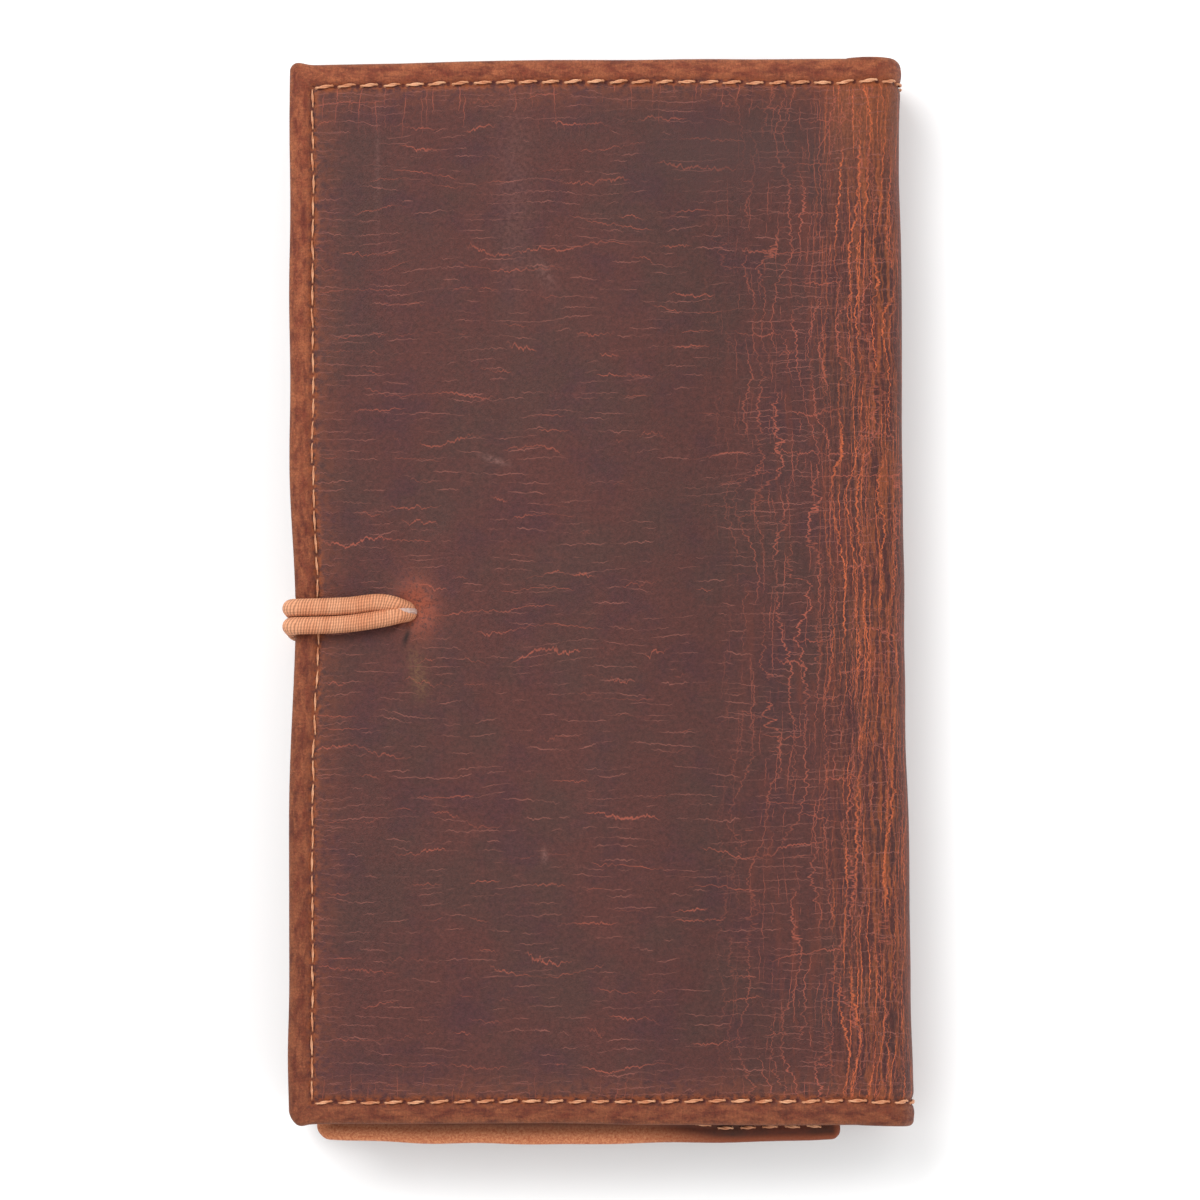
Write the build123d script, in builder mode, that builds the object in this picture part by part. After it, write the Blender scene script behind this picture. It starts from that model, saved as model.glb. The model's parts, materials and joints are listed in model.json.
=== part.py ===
from build123d import *
from math import acos, atan2, cos, degrees, hypot, radians, sin
import os

# Leather notebook cover, closed, lying on its front with the back cover up and level.
# X runs from the fore-edge to the spine, Y from the bottom edge to the top edge, and the floor is Z = 0.
# The front cover underneath is tilted, because it rests on its closure stud and on the bottom of the spine.

# ---- driving dimensions, mm ----
cover_height = 200.0
cover_centre_y = 1.8  # the inner leaf hangs below the covers, so they sit this far above the middle
fore_edge_x = -56.75
spine_x = 58.75  # outermost point of the spine
closed_thickness = 21.5  # floor to the back cover's outer face
front_tilt = 3.1  # degrees between the front cover and the floor

leather = 1.6
board = 0.6
lining = 0.8
cover_thickness = leather + board + lining
turned_edge = 2.0  # width of the outer leather that turns round the board
corner_radius = 3.0

strip_count = 3  # stiff strips that the spine is divided into
fold_gap_outer = 4.1  # degrees left free beside a fold line at the outer surface
fold_gap_inner = 1.1  # degrees left free beside a fold line at the inner surface

seam_margin = 4.4  # stitch line to the cover's edge
groove_width = 0.9
groove_depth = 0.4
thread_width = 0.7
thread_sink = 0.05  # the thread lies this far under the leather's face
over_cut = 0.2

sleeve_thickness = 1.0
sleeve_width = 62.0
sleeve_inset = 2.0
sleeve_seam = 3.0  # stitched border of a sleeve, outside its pocket
pocket_depth = 0.4
thumb_radius = 9.0

elastic_radius = 1.65
elastic_y = -3.8  # middle of the pair of strands at the fore-edge, and of the stud
elastic_gap = 0.05  # clearance between the elastic and the leather under it
elastic_bend = 2.2  # centre-line radius where it turns round the fore-edge
strand_offset = 1.7  # each strand's distance from the pair's middle at the fore-edge
elastic_outer_x = -58.75
anchor_hole_x = -33.8
anchor_hole_y = -2.3
anchor_hole_radius = 2.1
anchor_stub_radius = 1.85
anchor_patch = (18.0, 12.0)
notch_depth = 1.75
notch_width = 7.6

stud_x = -41.5
stud_cap_radius = 4.5
stud_cap_thickness = 1.15
stud_cap_rounding = 0.4
stud_neck_radius = 1.6
stud_pin_radius = 1.0
stud_washer_radius = 4.0

leaf_left = -51.9
leaf_right = 46.0
leaf_height = 200.0
leaf_drop = 3.6  # how far the leaf hangs below the covers' bottom edge
leaf_leather = 0.9
leaf_board = 0.6
leaf_top_z = 16.3
leaf_border = 3.5
leaf_corner = 2.5
leaf_seam_margin = 2.9
hinge_strip_tuck = 12.0  # how far the hinge strip reaches between the leaf's two leathers
hinge_strip_end = (53.9, 12.3)
flange_thickness = 0.6
flange_angles = (2.0, 18.0)
flange_length = 190.0
card_pocket_thickness = 0.8
card_pocket_size = (84.0, 90.0)
card_pocket_gap = 5.0
card_pocket_left = -47.0

# ---- derived geometry ----
spine_radius = closed_thickness / 2
bend_x = spine_x - spine_radius
bend_z = spine_radius
wedge = (180 + front_tilt) / (strip_count + 1)  # degrees of bend that each fold takes
tilt = radians(front_tilt)
seam_span = cover_height - 2 * seam_margin
cover_bottom = cover_centre_y - cover_height / 2
leaf_thickness = 2 * leaf_leather + leaf_board

# each cover's outer face, with its origin where the spine's bend begins and local X towards the fore-edge
back_face = Plane(origin=(bend_x, cover_centre_y, closed_thickness), x_dir=(-1, 0, 0), z_dir=(0, 0, 1))
front_face = Plane(
    origin=(bend_x - spine_radius * sin(tilt), cover_centre_y, bend_z - spine_radius * cos(tilt)),
    x_dir=(-cos(tilt), 0, sin(tilt)),
    z_dir=(-sin(tilt), 0, -cos(tilt)),
)
back_run = bend_x - fore_edge_x
front_run = (front_face.origin.X - fore_edge_x) / cos(tilt)
bend_plane = Plane(origin=(bend_x, cover_centre_y, bend_z), x_dir=(1, 0, 0), z_dir=(0, -1, 0))

# fold lines, as angles round the bend, from the back cover down to the front cover
fold_angles = [90 - wedge / 2 - wedge * n for n in range(strip_count + 1)]
back_tangent = 90.0
front_tangent = -90.0 - front_tilt

stud_height = (front_face.origin.Z + (front_face.origin.X - stud_x) * sin(tilt) / cos(tilt)) / cos(tilt)
stud_height -= stud_cap_radius * sin(tilt) / cos(tilt)

os.makedirs("parts", exist_ok=True)


def save(builder, name):
    """Names a finished piece and writes it as one STEP file."""
    builder.part.label = name
    export_step(builder.part, f"parts/{name}.step")


def fold_gap(depth):
    """Degrees left free beside a fold line at a depth under the outer surface."""
    return fold_gap_outer + (fold_gap_inner - fold_gap_outer) * depth / cover_thickness


def across(face, y):
    """A world Y as the local Y of a cover's face."""
    return (y - cover_centre_y) * face.y_dir.Y


def along(face, x):
    """A world X as the local X of a cover's face."""
    return (face.origin.X - x) / -face.x_dir.X


def bend_sector(near, far, upper, lower, upper_free=True, lower_free=True, y=0.0):
    """Section of a layer of the bend between two depths and two angles, drawn back from free ends."""
    with BuildSketch(bend_plane.offset(-y)) as section:
        with BuildLine():
            arcs = []
            for depth in (near, far):
                first = upper - fold_gap(depth) * upper_free
                last = lower + fold_gap(depth) * lower_free
                arcs.append(CenterArc((0, 0), spine_radius - depth, first, last - first))
            Line(arcs[0] @ 0, arcs[1] @ 0)
            Line(arcs[0] @ 1, arcs[1] @ 1)
        make_face()
    return section.sketch


def bent_leather(*ends):
    """Outer leather of one stretch of the bend, turned over the lining at the top and bottom edges."""
    rim_y = (cover_height - turned_edge) / 2
    with BuildPart() as bent:
        extrude(bend_sector(0, leather, *ends), amount=cover_height / 2, both=True)
        for y in (-rim_y, rim_y):
            extrude(bend_sector(leather, cover_thickness, *ends, y=y), amount=turned_edge / 2, both=True)
    return bent.part


def bent_seam(width, near, far, *ends):
    """Stitch lines of one stretch of the bend, one near each end of the spine."""
    with BuildPart() as bent:
        for y in (-seam_span / 2, seam_span / 2):
            extrude(bend_sector(near, far, *ends, y=y), amount=width / 2, both=True)
    return bent.part


def cover_seam(face, run, width, near, far, *ends):
    """Stitch line along a cover's bottom, fore-edge and top, carried on round the bend to the first fold."""
    with BuildPart() as seam:
        with BuildSketch(face.offset(-near)):
            with Locations((run - seam_margin, 0)):
                Rectangle(width, seam_span + width)
            with Locations((0, -seam_span / 2), (0, seam_span / 2)):
                Rectangle(run - seam_margin, width, align=(Align.MIN, Align.CENTER))
        extrude(amount=near - far)
        add(bent_seam(width, near, far, *ends))
    return seam.part


def outer_leather(face, run, *ends):
    """Outer leather of a cover: its face, the turned edges on three sides and its share of the bend."""
    along_edge = Axis(face.origin, face.z_dir)
    with BuildPart() as skin:
        with BuildSketch(face):
            Rectangle(run, cover_height, align=(Align.MIN, Align.CENTER))
        extrude(amount=-cover_thickness)
        with BuildSketch(face.offset(-leather)):
            Rectangle(run - turned_edge, cover_height - 2 * turned_edge, align=(Align.MIN, Align.CENTER))
        extrude(amount=leather - cover_thickness, mode=Mode.SUBTRACT)
        corners = skin.edges().filter_by(along_edge).group_by(Axis(face.origin, face.x_dir))[-1]
        fillet(corners, radius=corner_radius)
        add(bent_leather(*ends))
        add(cover_seam(face, run, groove_width, -over_cut, groove_depth, *ends), mode=Mode.SUBTRACT)
        with BuildSketch(face):
            with Locations((run, across(face, elastic_y))):
                Rectangle(notch_depth, notch_width, align=(Align.MAX, Align.CENTER))
        extrude(amount=-cover_thickness, mode=Mode.SUBTRACT)
    return skin.part


def inner_slab(face, run, near, far):
    """A flat layer inside the turned edges, between two depths under the face."""
    with BuildPart() as slab:
        with BuildSketch(face.offset(-near)):
            Rectangle(run - turned_edge, cover_height - 2 * turned_edge, align=(Align.MIN, Align.CENTER))
        extrude(amount=near - far)
    return slab.part


def cover_lining(face, run, *ends):
    """Lining of a cover, thicker where it follows the bend, because no board lies over it there."""
    with BuildPart() as inside:
        add(inner_slab(face, run, leather + board, cover_thickness))
        extrude(bend_sector(leather, cover_thickness, *ends), amount=cover_height / 2 - turned_edge, both=True)
    return inside.part


def sleeve(face, run):
    """Panel stitched over the lining on three sides, open towards the spine, with a thumb cut-out."""
    left = run - sleeve_inset - sleeve_width
    height = cover_height - 2 * sleeve_inset
    with BuildPart() as panel:
        with BuildSketch(face.offset(-cover_thickness)):
            with Locations((left, 0)):
                Rectangle(sleeve_width, height, align=(Align.MIN, Align.CENTER))
            with Locations((left, 0)):
                Circle(thumb_radius, mode=Mode.SUBTRACT)
        extrude(amount=-sleeve_thickness)
        with BuildSketch(face.offset(-cover_thickness)):
            with Locations((left, 0)):
                pocket = (sleeve_width - sleeve_seam, height - 2 * sleeve_seam)
                Rectangle(*pocket, align=(Align.MIN, Align.CENTER))
        extrude(amount=-pocket_depth, mode=Mode.SUBTRACT)
    return panel.part


# ---- front cover ----
front_ends = (fold_angles[-1], front_tangent, True, False)

with BuildPart() as front_cover_leather:
    add(outer_leather(front_face, front_run, *front_ends))
    with BuildSketch(front_face):
        with Locations((along(front_face, stud_x), across(front_face, elastic_y))):
            Circle(stud_pin_radius)
    extrude(amount=-leather, mode=Mode.SUBTRACT)
save(front_cover_leather, "front_cover_leather")

with BuildPart() as front_cover_board:
    add(inner_slab(front_face, front_run, leather, leather + board))
    with BuildSketch(front_face.offset(-leather)):
        with Locations((along(front_face, stud_x), across(front_face, elastic_y))):
            Circle(stud_washer_radius)
    extrude(amount=-board, mode=Mode.SUBTRACT)
save(front_cover_board, "front_cover_board")

with BuildPart() as front_cover_lining:
    add(cover_lining(front_face, front_run, *front_ends))
save(front_cover_lining, "front_cover_lining")

with BuildPart() as front_seam_thread:
    add(cover_seam(front_face, front_run, thread_width, thread_sink, groove_depth, *front_ends))
save(front_seam_thread, "front_seam_thread")

with BuildPart() as notebook_sleeve:
    add(sleeve(front_face, front_run))
save(notebook_sleeve, "notebook_sleeve")

# ---- closure stud on the front cover ----
with BuildPart() as stud_button:
    with BuildSketch(front_face.offset(stud_height)):
        with Locations((along(front_face, stud_x), across(front_face, elastic_y))):
            Circle(stud_cap_radius)
    extrude(amount=-stud_cap_thickness)
    inner_rim = stud_button.edges().sort_by(Axis(front_face.origin, front_face.z_dir))[0]
    fillet(inner_rim, radius=stud_cap_rounding)
    with BuildSketch(front_face):
        with Locations((along(front_face, stud_x), across(front_face, elastic_y))):
            Circle(stud_neck_radius)
    extrude(amount=stud_height - stud_cap_thickness)
    with BuildSketch(front_face):
        with Locations((along(front_face, stud_x), across(front_face, elastic_y))):
            Circle(stud_pin_radius)
    extrude(amount=-leather - board)
save(stud_button, "stud_button")

with BuildPart() as stud_washer:
    with BuildSketch(front_face.offset(-leather)):
        with Locations((along(front_face, stud_x), across(front_face, elastic_y))):
            Circle(stud_washer_radius)
            Circle(stud_pin_radius, mode=Mode.SUBTRACT)
    extrude(amount=-board)
save(stud_washer, "stud_washer")

# ---- spine: three strips between four folds ----
for place, upper, lower in zip(("back", "middle", "front"), fold_angles, fold_angles[1:]):
    with BuildPart() as spine_leather:
        add(bent_leather(upper, lower))
        add(bent_seam(groove_width, -over_cut, groove_depth, upper, lower), mode=Mode.SUBTRACT)
    save(spine_leather, f"spine_leather_{place}")

    with BuildPart() as spine_lining:
        section = bend_sector(leather, cover_thickness, upper, lower)
        extrude(section, amount=cover_height / 2 - turned_edge, both=True)
    save(spine_lining, f"spine_lining_{place}")

    with BuildPart() as spine_thread:
        add(bent_seam(thread_width, thread_sink, groove_depth, upper, lower))
    save(spine_thread, f"spine_thread_{place}")

# ---- back cover ----
back_ends = (back_tangent, fold_angles[0], False, True)

with BuildPart() as back_cover_leather:
    add(outer_leather(back_face, back_run, *back_ends))
    with BuildSketch(back_face):
        with Locations((along(back_face, anchor_hole_x), across(back_face, anchor_hole_y))):
            Circle(anchor_hole_radius)
    extrude(amount=-leather, mode=Mode.SUBTRACT)
save(back_cover_leather, "back_cover_leather")

with BuildPart() as back_cover_board:
    add(inner_slab(back_face, back_run, leather, leather + board))
    with BuildSketch(back_face.offset(-leather)):
        with Locations((along(back_face, anchor_hole_x), across(back_face, anchor_hole_y))):
            Rectangle(*anchor_patch)
    extrude(amount=-board, mode=Mode.SUBTRACT)
save(back_cover_board, "back_cover_board")

with BuildPart() as back_cover_lining:
    add(cover_lining(back_face, back_run, *back_ends))
save(back_cover_lining, "back_cover_lining")

with BuildPart() as back_seam_thread:
    add(cover_seam(back_face, back_run, thread_width, thread_sink, groove_depth, *back_ends))
save(back_seam_thread, "back_seam_thread")

with BuildPart() as slip_pocket:
    add(sleeve(back_face, back_run))
save(slip_pocket, "slip_pocket")

with BuildPart() as elastic_anchor_patch:
    with BuildSketch(back_face.offset(-leather)):
        with Locations((along(back_face, anchor_hole_x), across(back_face, anchor_hole_y))):
            Rectangle(*anchor_patch)
    extrude(amount=-board)
save(elastic_anchor_patch, "elastic_anchor_patch")

# ---- closure elastic: one loop, both strands side by side ----
elastic_z = closed_thickness + elastic_gap + elastic_radius
side_x = elastic_outer_x + elastic_radius
upper_bend = Vector(side_x + elastic_bend, 0, elastic_z - elastic_bend)

# the loop's plane, one strand radius outside the front cover's face
loop_plane = front_face.offset(elastic_gap + elastic_radius)
lower_bend_height = loop_plane.offset(-elastic_bend)
lower_bend_run = (lower_bend_height.origin.X - upper_bend.X) / cos(tilt)
lower_bend = lower_bend_height.origin + lower_bend_height.x_dir * lower_bend_run


def strand_plane(y):
    """The upright plane that one strand's lower bend lies in."""
    return Plane((0, y, 0), x_dir=(1, 0, 0), z_dir=(0, -1, 0))


hole_centre = Vector(anchor_hole_x, anchor_hole_y, elastic_z)
pair_edge = Vector(side_x, elastic_y, elastic_z)
pair_length = (pair_edge - hole_centre).length
pair = Plane(origin=hole_centre, x_dir=(pair_edge - hole_centre).normalized(), z_dir=(0, 0, 1))
between_strands = Plane(origin=hole_centre, x_dir=pair.x_dir, z_dir=pair.y_dir)


def elastic_strand():
    """The strand on the pair's upper side, from the hole to where it hangs at the fore-edge."""
    start = pair.from_local_coords(Vector(0, elastic_gap, 0))
    end = pair.from_local_coords(Vector(pair_length, strand_offset, 0))
    reach = (end - start).length
    upright = Plane(origin=start, x_dir=(end - start).normalized(), z_dir=(end - start).cross(pair.z_dir))
    with BuildPart() as strand:
        with BuildLine(upright):
            Line((0, 0), (reach - elastic_bend, 0))
            CenterArc((reach - elastic_bend, -elastic_bend), elastic_bend, 0, 90)
        with BuildSketch(Plane(origin=start, z_dir=upright.x_dir)):
            Circle(elastic_radius)
        sweep()
        split(bisect_by=between_strands, keep=Keep.TOP)
    return strand.part


with BuildPart() as elastic_back_run:
    add(elastic_strand())
    mirror(about=between_strands)
    with Locations(hole_centre):
        Sphere(anchor_stub_radius)
    with BuildSketch(Plane((anchor_hole_x, anchor_hole_y, closed_thickness - leather))):
        Circle(anchor_stub_radius)
    extrude(amount=leather + elastic_gap + elastic_radius)
save(elastic_back_run, "elastic_back_run")

with BuildPart() as elastic_side:
    with BuildSketch(Plane((side_x, elastic_y, upper_bend.Z - elastic_gap))):
        with Locations((0, -strand_offset), (0, strand_offset)):
            Circle(elastic_radius)
    extrude(amount=lower_bend.Z - upper_bend.Z + 2 * elastic_gap)
save(elastic_side, "elastic_side")

with BuildPart() as elastic_front_loop:
    stud_run = along(loop_plane, stud_x)
    middle = across(loop_plane, elastic_y)
    wrap_radius = stud_neck_radius + elastic_gap + elastic_radius
    reach = lower_bend_run - stud_run
    lead_angle = degrees(atan2(strand_offset, reach) + acos(wrap_radius / hypot(strand_offset, reach)))
    with BuildLine(loop_plane):
        wrap_centre = (stud_run, middle)
        wrap = CenterArc(wrap_centre, wrap_radius, lead_angle, 360 - 2 * lead_angle)
        lead_in = Line((lower_bend_run, middle + strand_offset), wrap @ 0)
        Line(wrap @ 1, (lower_bend_run, middle - strand_offset))
    with BuildSketch(Plane(origin=lead_in @ 0, z_dir=lead_in % 0)):
        Circle(elastic_radius)
    sweep()
    for side in (-1, 1):
        strand_y = elastic_y + side * strand_offset
        with BuildLine(strand_plane(strand_y)):
            turn = CenterArc((lower_bend.X, lower_bend.Z), elastic_bend, 180, 90 - front_tilt)
        with BuildSketch(Plane(origin=turn @ 0, z_dir=turn % 0)):
            Circle(elastic_radius)
        sweep()
        with Locations(turn @ 1):
            Sphere(elastic_radius)
save(elastic_front_loop, "elastic_front_loop")

# ---- inner leaf, hung from the middle of the spine ----
leaf_width = leaf_right - leaf_left
leaf_centre_y = cover_bottom - leaf_drop + leaf_height / 2
leaf_face = Plane((leaf_left, leaf_centre_y, leaf_top_z))
leaf_seam_span = leaf_height - 2 * leaf_seam_margin
core_z = leaf_top_z - leaf_leather
tuck_x = leaf_right - hinge_strip_tuck


def leaf_seam(width, near, far):
    """Stitch line round all four sides of the leaf, between two depths under its face."""
    with BuildPart() as seam:
        with BuildSketch(leaf_face.offset(-near)):
            with Locations((leaf_width / 2, 0)):
                Rectangle(leaf_width - 2 * leaf_seam_margin + width, leaf_seam_span + width)
                inside = (leaf_width - 2 * leaf_seam_margin - width, leaf_seam_span - width)
                Rectangle(*inside, mode=Mode.SUBTRACT)
        extrude(amount=near - far)
    return seam.part


with BuildPart() as leaf_upper_leather:
    with BuildSketch(leaf_face):
        Rectangle(leaf_width, leaf_height, align=(Align.MIN, Align.CENTER))
    extrude(amount=-leaf_leather - leaf_board)
    fillet(leaf_upper_leather.edges().filter_by(Axis.Z).group_by(Axis.X)[0], radius=leaf_corner)
    with BuildSketch(leaf_face.offset(-leaf_leather)):
        with Locations((leaf_border, 0)):
            core = (leaf_width - leaf_border, leaf_height - 2 * leaf_border)
            Rectangle(*core, align=(Align.MIN, Align.CENTER))
    extrude(amount=-leaf_board, mode=Mode.SUBTRACT)
    add(leaf_seam(groove_width, -over_cut, groove_depth), mode=Mode.SUBTRACT)
save(leaf_upper_leather, "leaf_upper_leather")

with BuildPart() as leaf_lower_leather:
    with BuildSketch(leaf_face.offset(-leaf_leather - leaf_board)):
        Rectangle(leaf_width, leaf_height, align=(Align.MIN, Align.CENTER))
    extrude(amount=-leaf_leather)
    fillet(leaf_lower_leather.edges().filter_by(Axis.Z).group_by(Axis.X)[0], radius=leaf_corner)
save(leaf_lower_leather, "leaf_lower_leather")

with BuildPart() as leaf_core_board:
    with BuildSketch(leaf_face.offset(-leaf_leather)):
        with Locations((leaf_border, 0)):
            core = (tuck_x - leaf_left - leaf_border, leaf_height - 2 * leaf_border)
            Rectangle(*core, align=(Align.MIN, Align.CENTER))
    extrude(amount=-leaf_board)
save(leaf_core_board, "leaf_core_board")

with BuildPart() as leaf_seam_thread:
    add(leaf_seam(thread_width, thread_sink, groove_depth))
save(leaf_seam_thread, "leaf_seam_thread")

for place, side in (("upper", 1), ("lower", -1)):
    with BuildPart() as card_pocket:
        offset_y = side * (card_pocket_size[1] + card_pocket_gap) / 2
        with BuildSketch(leaf_face):
            with Locations((card_pocket_left - leaf_left, offset_y)):
                Rectangle(*card_pocket_size, align=(Align.MIN, Align.CENTER))
        extrude(amount=card_pocket_thickness)
        with BuildSketch(leaf_face):
            with Locations((card_pocket_left - leaf_left + sleeve_seam, offset_y)):
                pocket = (card_pocket_size[0] - sleeve_seam, card_pocket_size[1] - 2 * sleeve_seam)
                Rectangle(*pocket, align=(Align.MIN, Align.CENTER))
        extrude(amount=pocket_depth, mode=Mode.SUBTRACT)
    save(card_pocket, f"card_pocket_{place}")

with BuildPart() as leaf_hinge_strip:
    with BuildSketch(Plane((0, leaf_centre_y, 0), x_dir=(1, 0, 0), z_dir=(0, -1, 0))):
        with BuildLine():
            Polyline(
                (tuck_x, core_z),
                (leaf_right, core_z),
                hinge_strip_end,
                (hinge_strip_end[0], hinge_strip_end[1] - leaf_board),
                (leaf_right, core_z - leaf_board),
                (tuck_x, core_z - leaf_board),
                close=True,
            )
        make_face()
    extrude(amount=flange_length / 2, both=True)
save(leaf_hinge_strip, "leaf_hinge_strip")

with BuildPart() as leaf_hinge_flange:
    with BuildSketch(bend_plane.offset(cover_centre_y - leaf_centre_y)):
        with BuildLine():
            arcs = []
            for radius in (spine_radius - cover_thickness, spine_radius - cover_thickness - flange_thickness):
                arcs.append(CenterArc((0, 0), radius, flange_angles[0], flange_angles[1] - flange_angles[0]))
            Line(arcs[0] @ 0, arcs[1] @ 0)
            Line(arcs[0] @ 1, arcs[1] @ 1)
        make_face()
    extrude(amount=flange_length / 2, both=True)
save(leaf_hinge_flange, "leaf_hinge_flange")
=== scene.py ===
import json
from math import atan2, cos, pi, radians, sin, tan

import bpy
import numpy as np
from mathutils import Matrix, Vector


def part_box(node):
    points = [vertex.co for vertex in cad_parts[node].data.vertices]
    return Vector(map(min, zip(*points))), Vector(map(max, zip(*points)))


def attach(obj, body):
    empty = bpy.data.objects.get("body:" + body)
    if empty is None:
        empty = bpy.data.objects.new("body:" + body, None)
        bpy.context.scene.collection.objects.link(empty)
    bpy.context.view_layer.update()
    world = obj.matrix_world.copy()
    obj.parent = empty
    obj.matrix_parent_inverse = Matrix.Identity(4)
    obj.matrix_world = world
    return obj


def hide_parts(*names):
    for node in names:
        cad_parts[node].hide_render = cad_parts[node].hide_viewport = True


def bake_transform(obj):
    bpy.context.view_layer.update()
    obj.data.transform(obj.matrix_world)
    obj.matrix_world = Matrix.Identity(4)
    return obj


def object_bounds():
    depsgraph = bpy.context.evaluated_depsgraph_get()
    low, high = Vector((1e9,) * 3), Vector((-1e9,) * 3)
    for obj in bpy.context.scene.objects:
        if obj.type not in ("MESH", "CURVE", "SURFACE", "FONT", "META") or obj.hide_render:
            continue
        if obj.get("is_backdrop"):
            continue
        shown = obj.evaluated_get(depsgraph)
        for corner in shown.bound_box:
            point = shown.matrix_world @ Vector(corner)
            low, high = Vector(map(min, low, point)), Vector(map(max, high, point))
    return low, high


# Leather notebook cover: the looks. Lengths here are millimetres until a mesh is made.
# The covers and the spine are one bent sheet. A point on it is (a, y, h): a runs from the back cover's
# fore-edge (negative), round the bend, to the front cover's fore-edge; h is the height over the outer face.

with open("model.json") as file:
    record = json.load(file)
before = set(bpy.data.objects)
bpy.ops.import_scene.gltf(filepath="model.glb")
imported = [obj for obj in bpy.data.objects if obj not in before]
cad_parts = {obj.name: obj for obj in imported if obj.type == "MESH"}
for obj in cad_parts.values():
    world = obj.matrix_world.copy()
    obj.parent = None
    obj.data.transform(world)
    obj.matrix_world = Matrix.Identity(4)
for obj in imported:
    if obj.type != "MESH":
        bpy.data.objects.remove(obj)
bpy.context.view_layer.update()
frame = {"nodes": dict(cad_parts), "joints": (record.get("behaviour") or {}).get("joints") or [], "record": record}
chance = np.random.default_rng(11)
MM = 0.001

# ---- measures taken from the frame ----


def node_box(node):
    low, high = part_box(node)
    return np.array(low) / MM, np.array(high) / MM


def joint_point(name):
    return np.array(next(j["pos_m"] for j in frame["joints"] if j["name"] == name)) / MM


back_low, back_high = node_box("back_cover_leather")
spine_high = node_box("spine_leather_middle")[1]
bed = next(m for m in frame["record"]["mounts"] if m["name"] == "notebook_bed")
tilt = atan2(bed["axis"][0], bed["axis"][2])
radius = back_high[2] / 2
bend_x = spine_high[0] - radius
bend_run = radius * (pi + tilt)
fore_x, y_low, y_high = back_low[0], back_low[1], back_high[1]
y_mid = (y_low + y_high) / 2
front_start = np.array([bend_x - radius * sin(tilt), radius - radius * cos(tilt)])
first_a = fore_x - bend_x
last_a = bend_run + (front_start[0] - fore_x) / cos(tilt)
folds = ["back_fold", "upper_spine_fold", "lower_spine_fold", "front_fold"]
fold_angles = [atan2(joint_point(f)[2] - radius, joint_point(f)[0] - bend_x) for f in folds]
borders = [radius * (pi / 2 - (p + q) / 2) for p, q in zip(fold_angles, fold_angles[1:])]

LIGHT = 1.33  # how much the stage's light brightens a colour
LEATHER = 1.58  # thickness of the outer leather
COVER = 2.95  # thickness of a whole cover
TURNED = 2.0  # width of the turned edge, seen from inside
CORNER = 3.0  # radius of the corners at the fore-edges
EDGE_ROUND = 1.15
LINING_INSET = 1.95  # the lining starts this far in from the edge
LINING_STEP = 1.6  # of its grid lines
INSIDE = -3.0  # height of the lining's face
SEAM = 4.4  # the stitch line's distance from the edge
STITCHES = 45  # stitches along a fore-edge
STITCH = (y_high - y_low - 2 * SEAM) / STITCHES
stud_low, stud_high = node_box("stud_button")
stud_x, stud_y = (stud_low[0] + stud_high[0]) / 2, (stud_low[1] + stud_high[1]) / 2
patch_low, patch_high = node_box("elastic_anchor_patch")
hole_a, hole_y = (patch_low[0] + patch_high[0]) / 2 - bend_x, (patch_low[1] + patch_high[1]) / 2


# ---- soft numbers ----


def smooth(value, low, high):
    """0 below low, 1 above high, and an even curve between them."""
    t = np.clip((value - low) / (high - low), 0, 1)
    return t * t * (3 - 2 * t)


def bell(value, width):
    return np.exp(-((value / width) ** 2))


def drift(u, v, size, seed):
    """A gentle random field of about -1 to 1, with features of a size."""
    source = np.random.default_rng(seed)
    total = 0
    for _ in range(14):
        angle, phase, pitch = source.uniform(0, 2 * pi), source.uniform(0, 2 * pi), source.uniform(0.6, 1.7)
        total = total + np.cos((u * cos(angle) + v * sin(angle)) * pi / (size * pitch) + phase)
    return total / 4.5


# ---- the sheet's shape ----


def outline(a):
    """(x, z) on the outer face of the closed cover's section."""
    share = np.clip(a / bend_run, 0, 1)
    phi = pi / 2 - share * (pi + tilt)
    even = pi / 2 - share * pi
    power = np.where(even > 0, 2.9, 2.35)
    swell = (np.abs(np.cos(even)) ** power + np.abs(np.sin(even)) ** power) ** (-1 / power)
    before, after = np.minimum(a, 0), np.maximum(a - bend_run, 0)
    x = bend_x + radius * swell * np.cos(phi) + before - after * cos(tilt)
    z = radius + radius * swell * np.sin(phi) + after * sin(tilt)
    return x, z


def edge_gap(a, y):
    """Distance from a point of the sheet to its nearest edge, before the corners are rounded."""
    return np.minimum(fore_gap(a), end_gap(y))


def fore_gap(a):
    return np.minimum(a - first_a, last_a - a)


def end_gap(y):
    return np.minimum(y - y_low, y_high - y)


def seam_gap(a, y):
    """Distance to the stitch line, which runs beside the fore-edges and both ends."""
    fore, end = fore_gap(a) - SEAM, end_gap(y) - SEAM
    outside = np.hypot(np.minimum(fore, 0), np.minimum(end, 0))
    return np.where((fore > 0) & (end > 0), np.minimum(fore, end), outside)


def seam_phase(a, y):
    """Stitch number along the nearest stitch line; the needle holes are at whole numbers."""
    beside_fore = fore_gap(a) < end_gap(y)
    return np.where(beside_fore, (y - y_low - SEAM) / STITCH, (a - first_a - SEAM) / STITCH)


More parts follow.
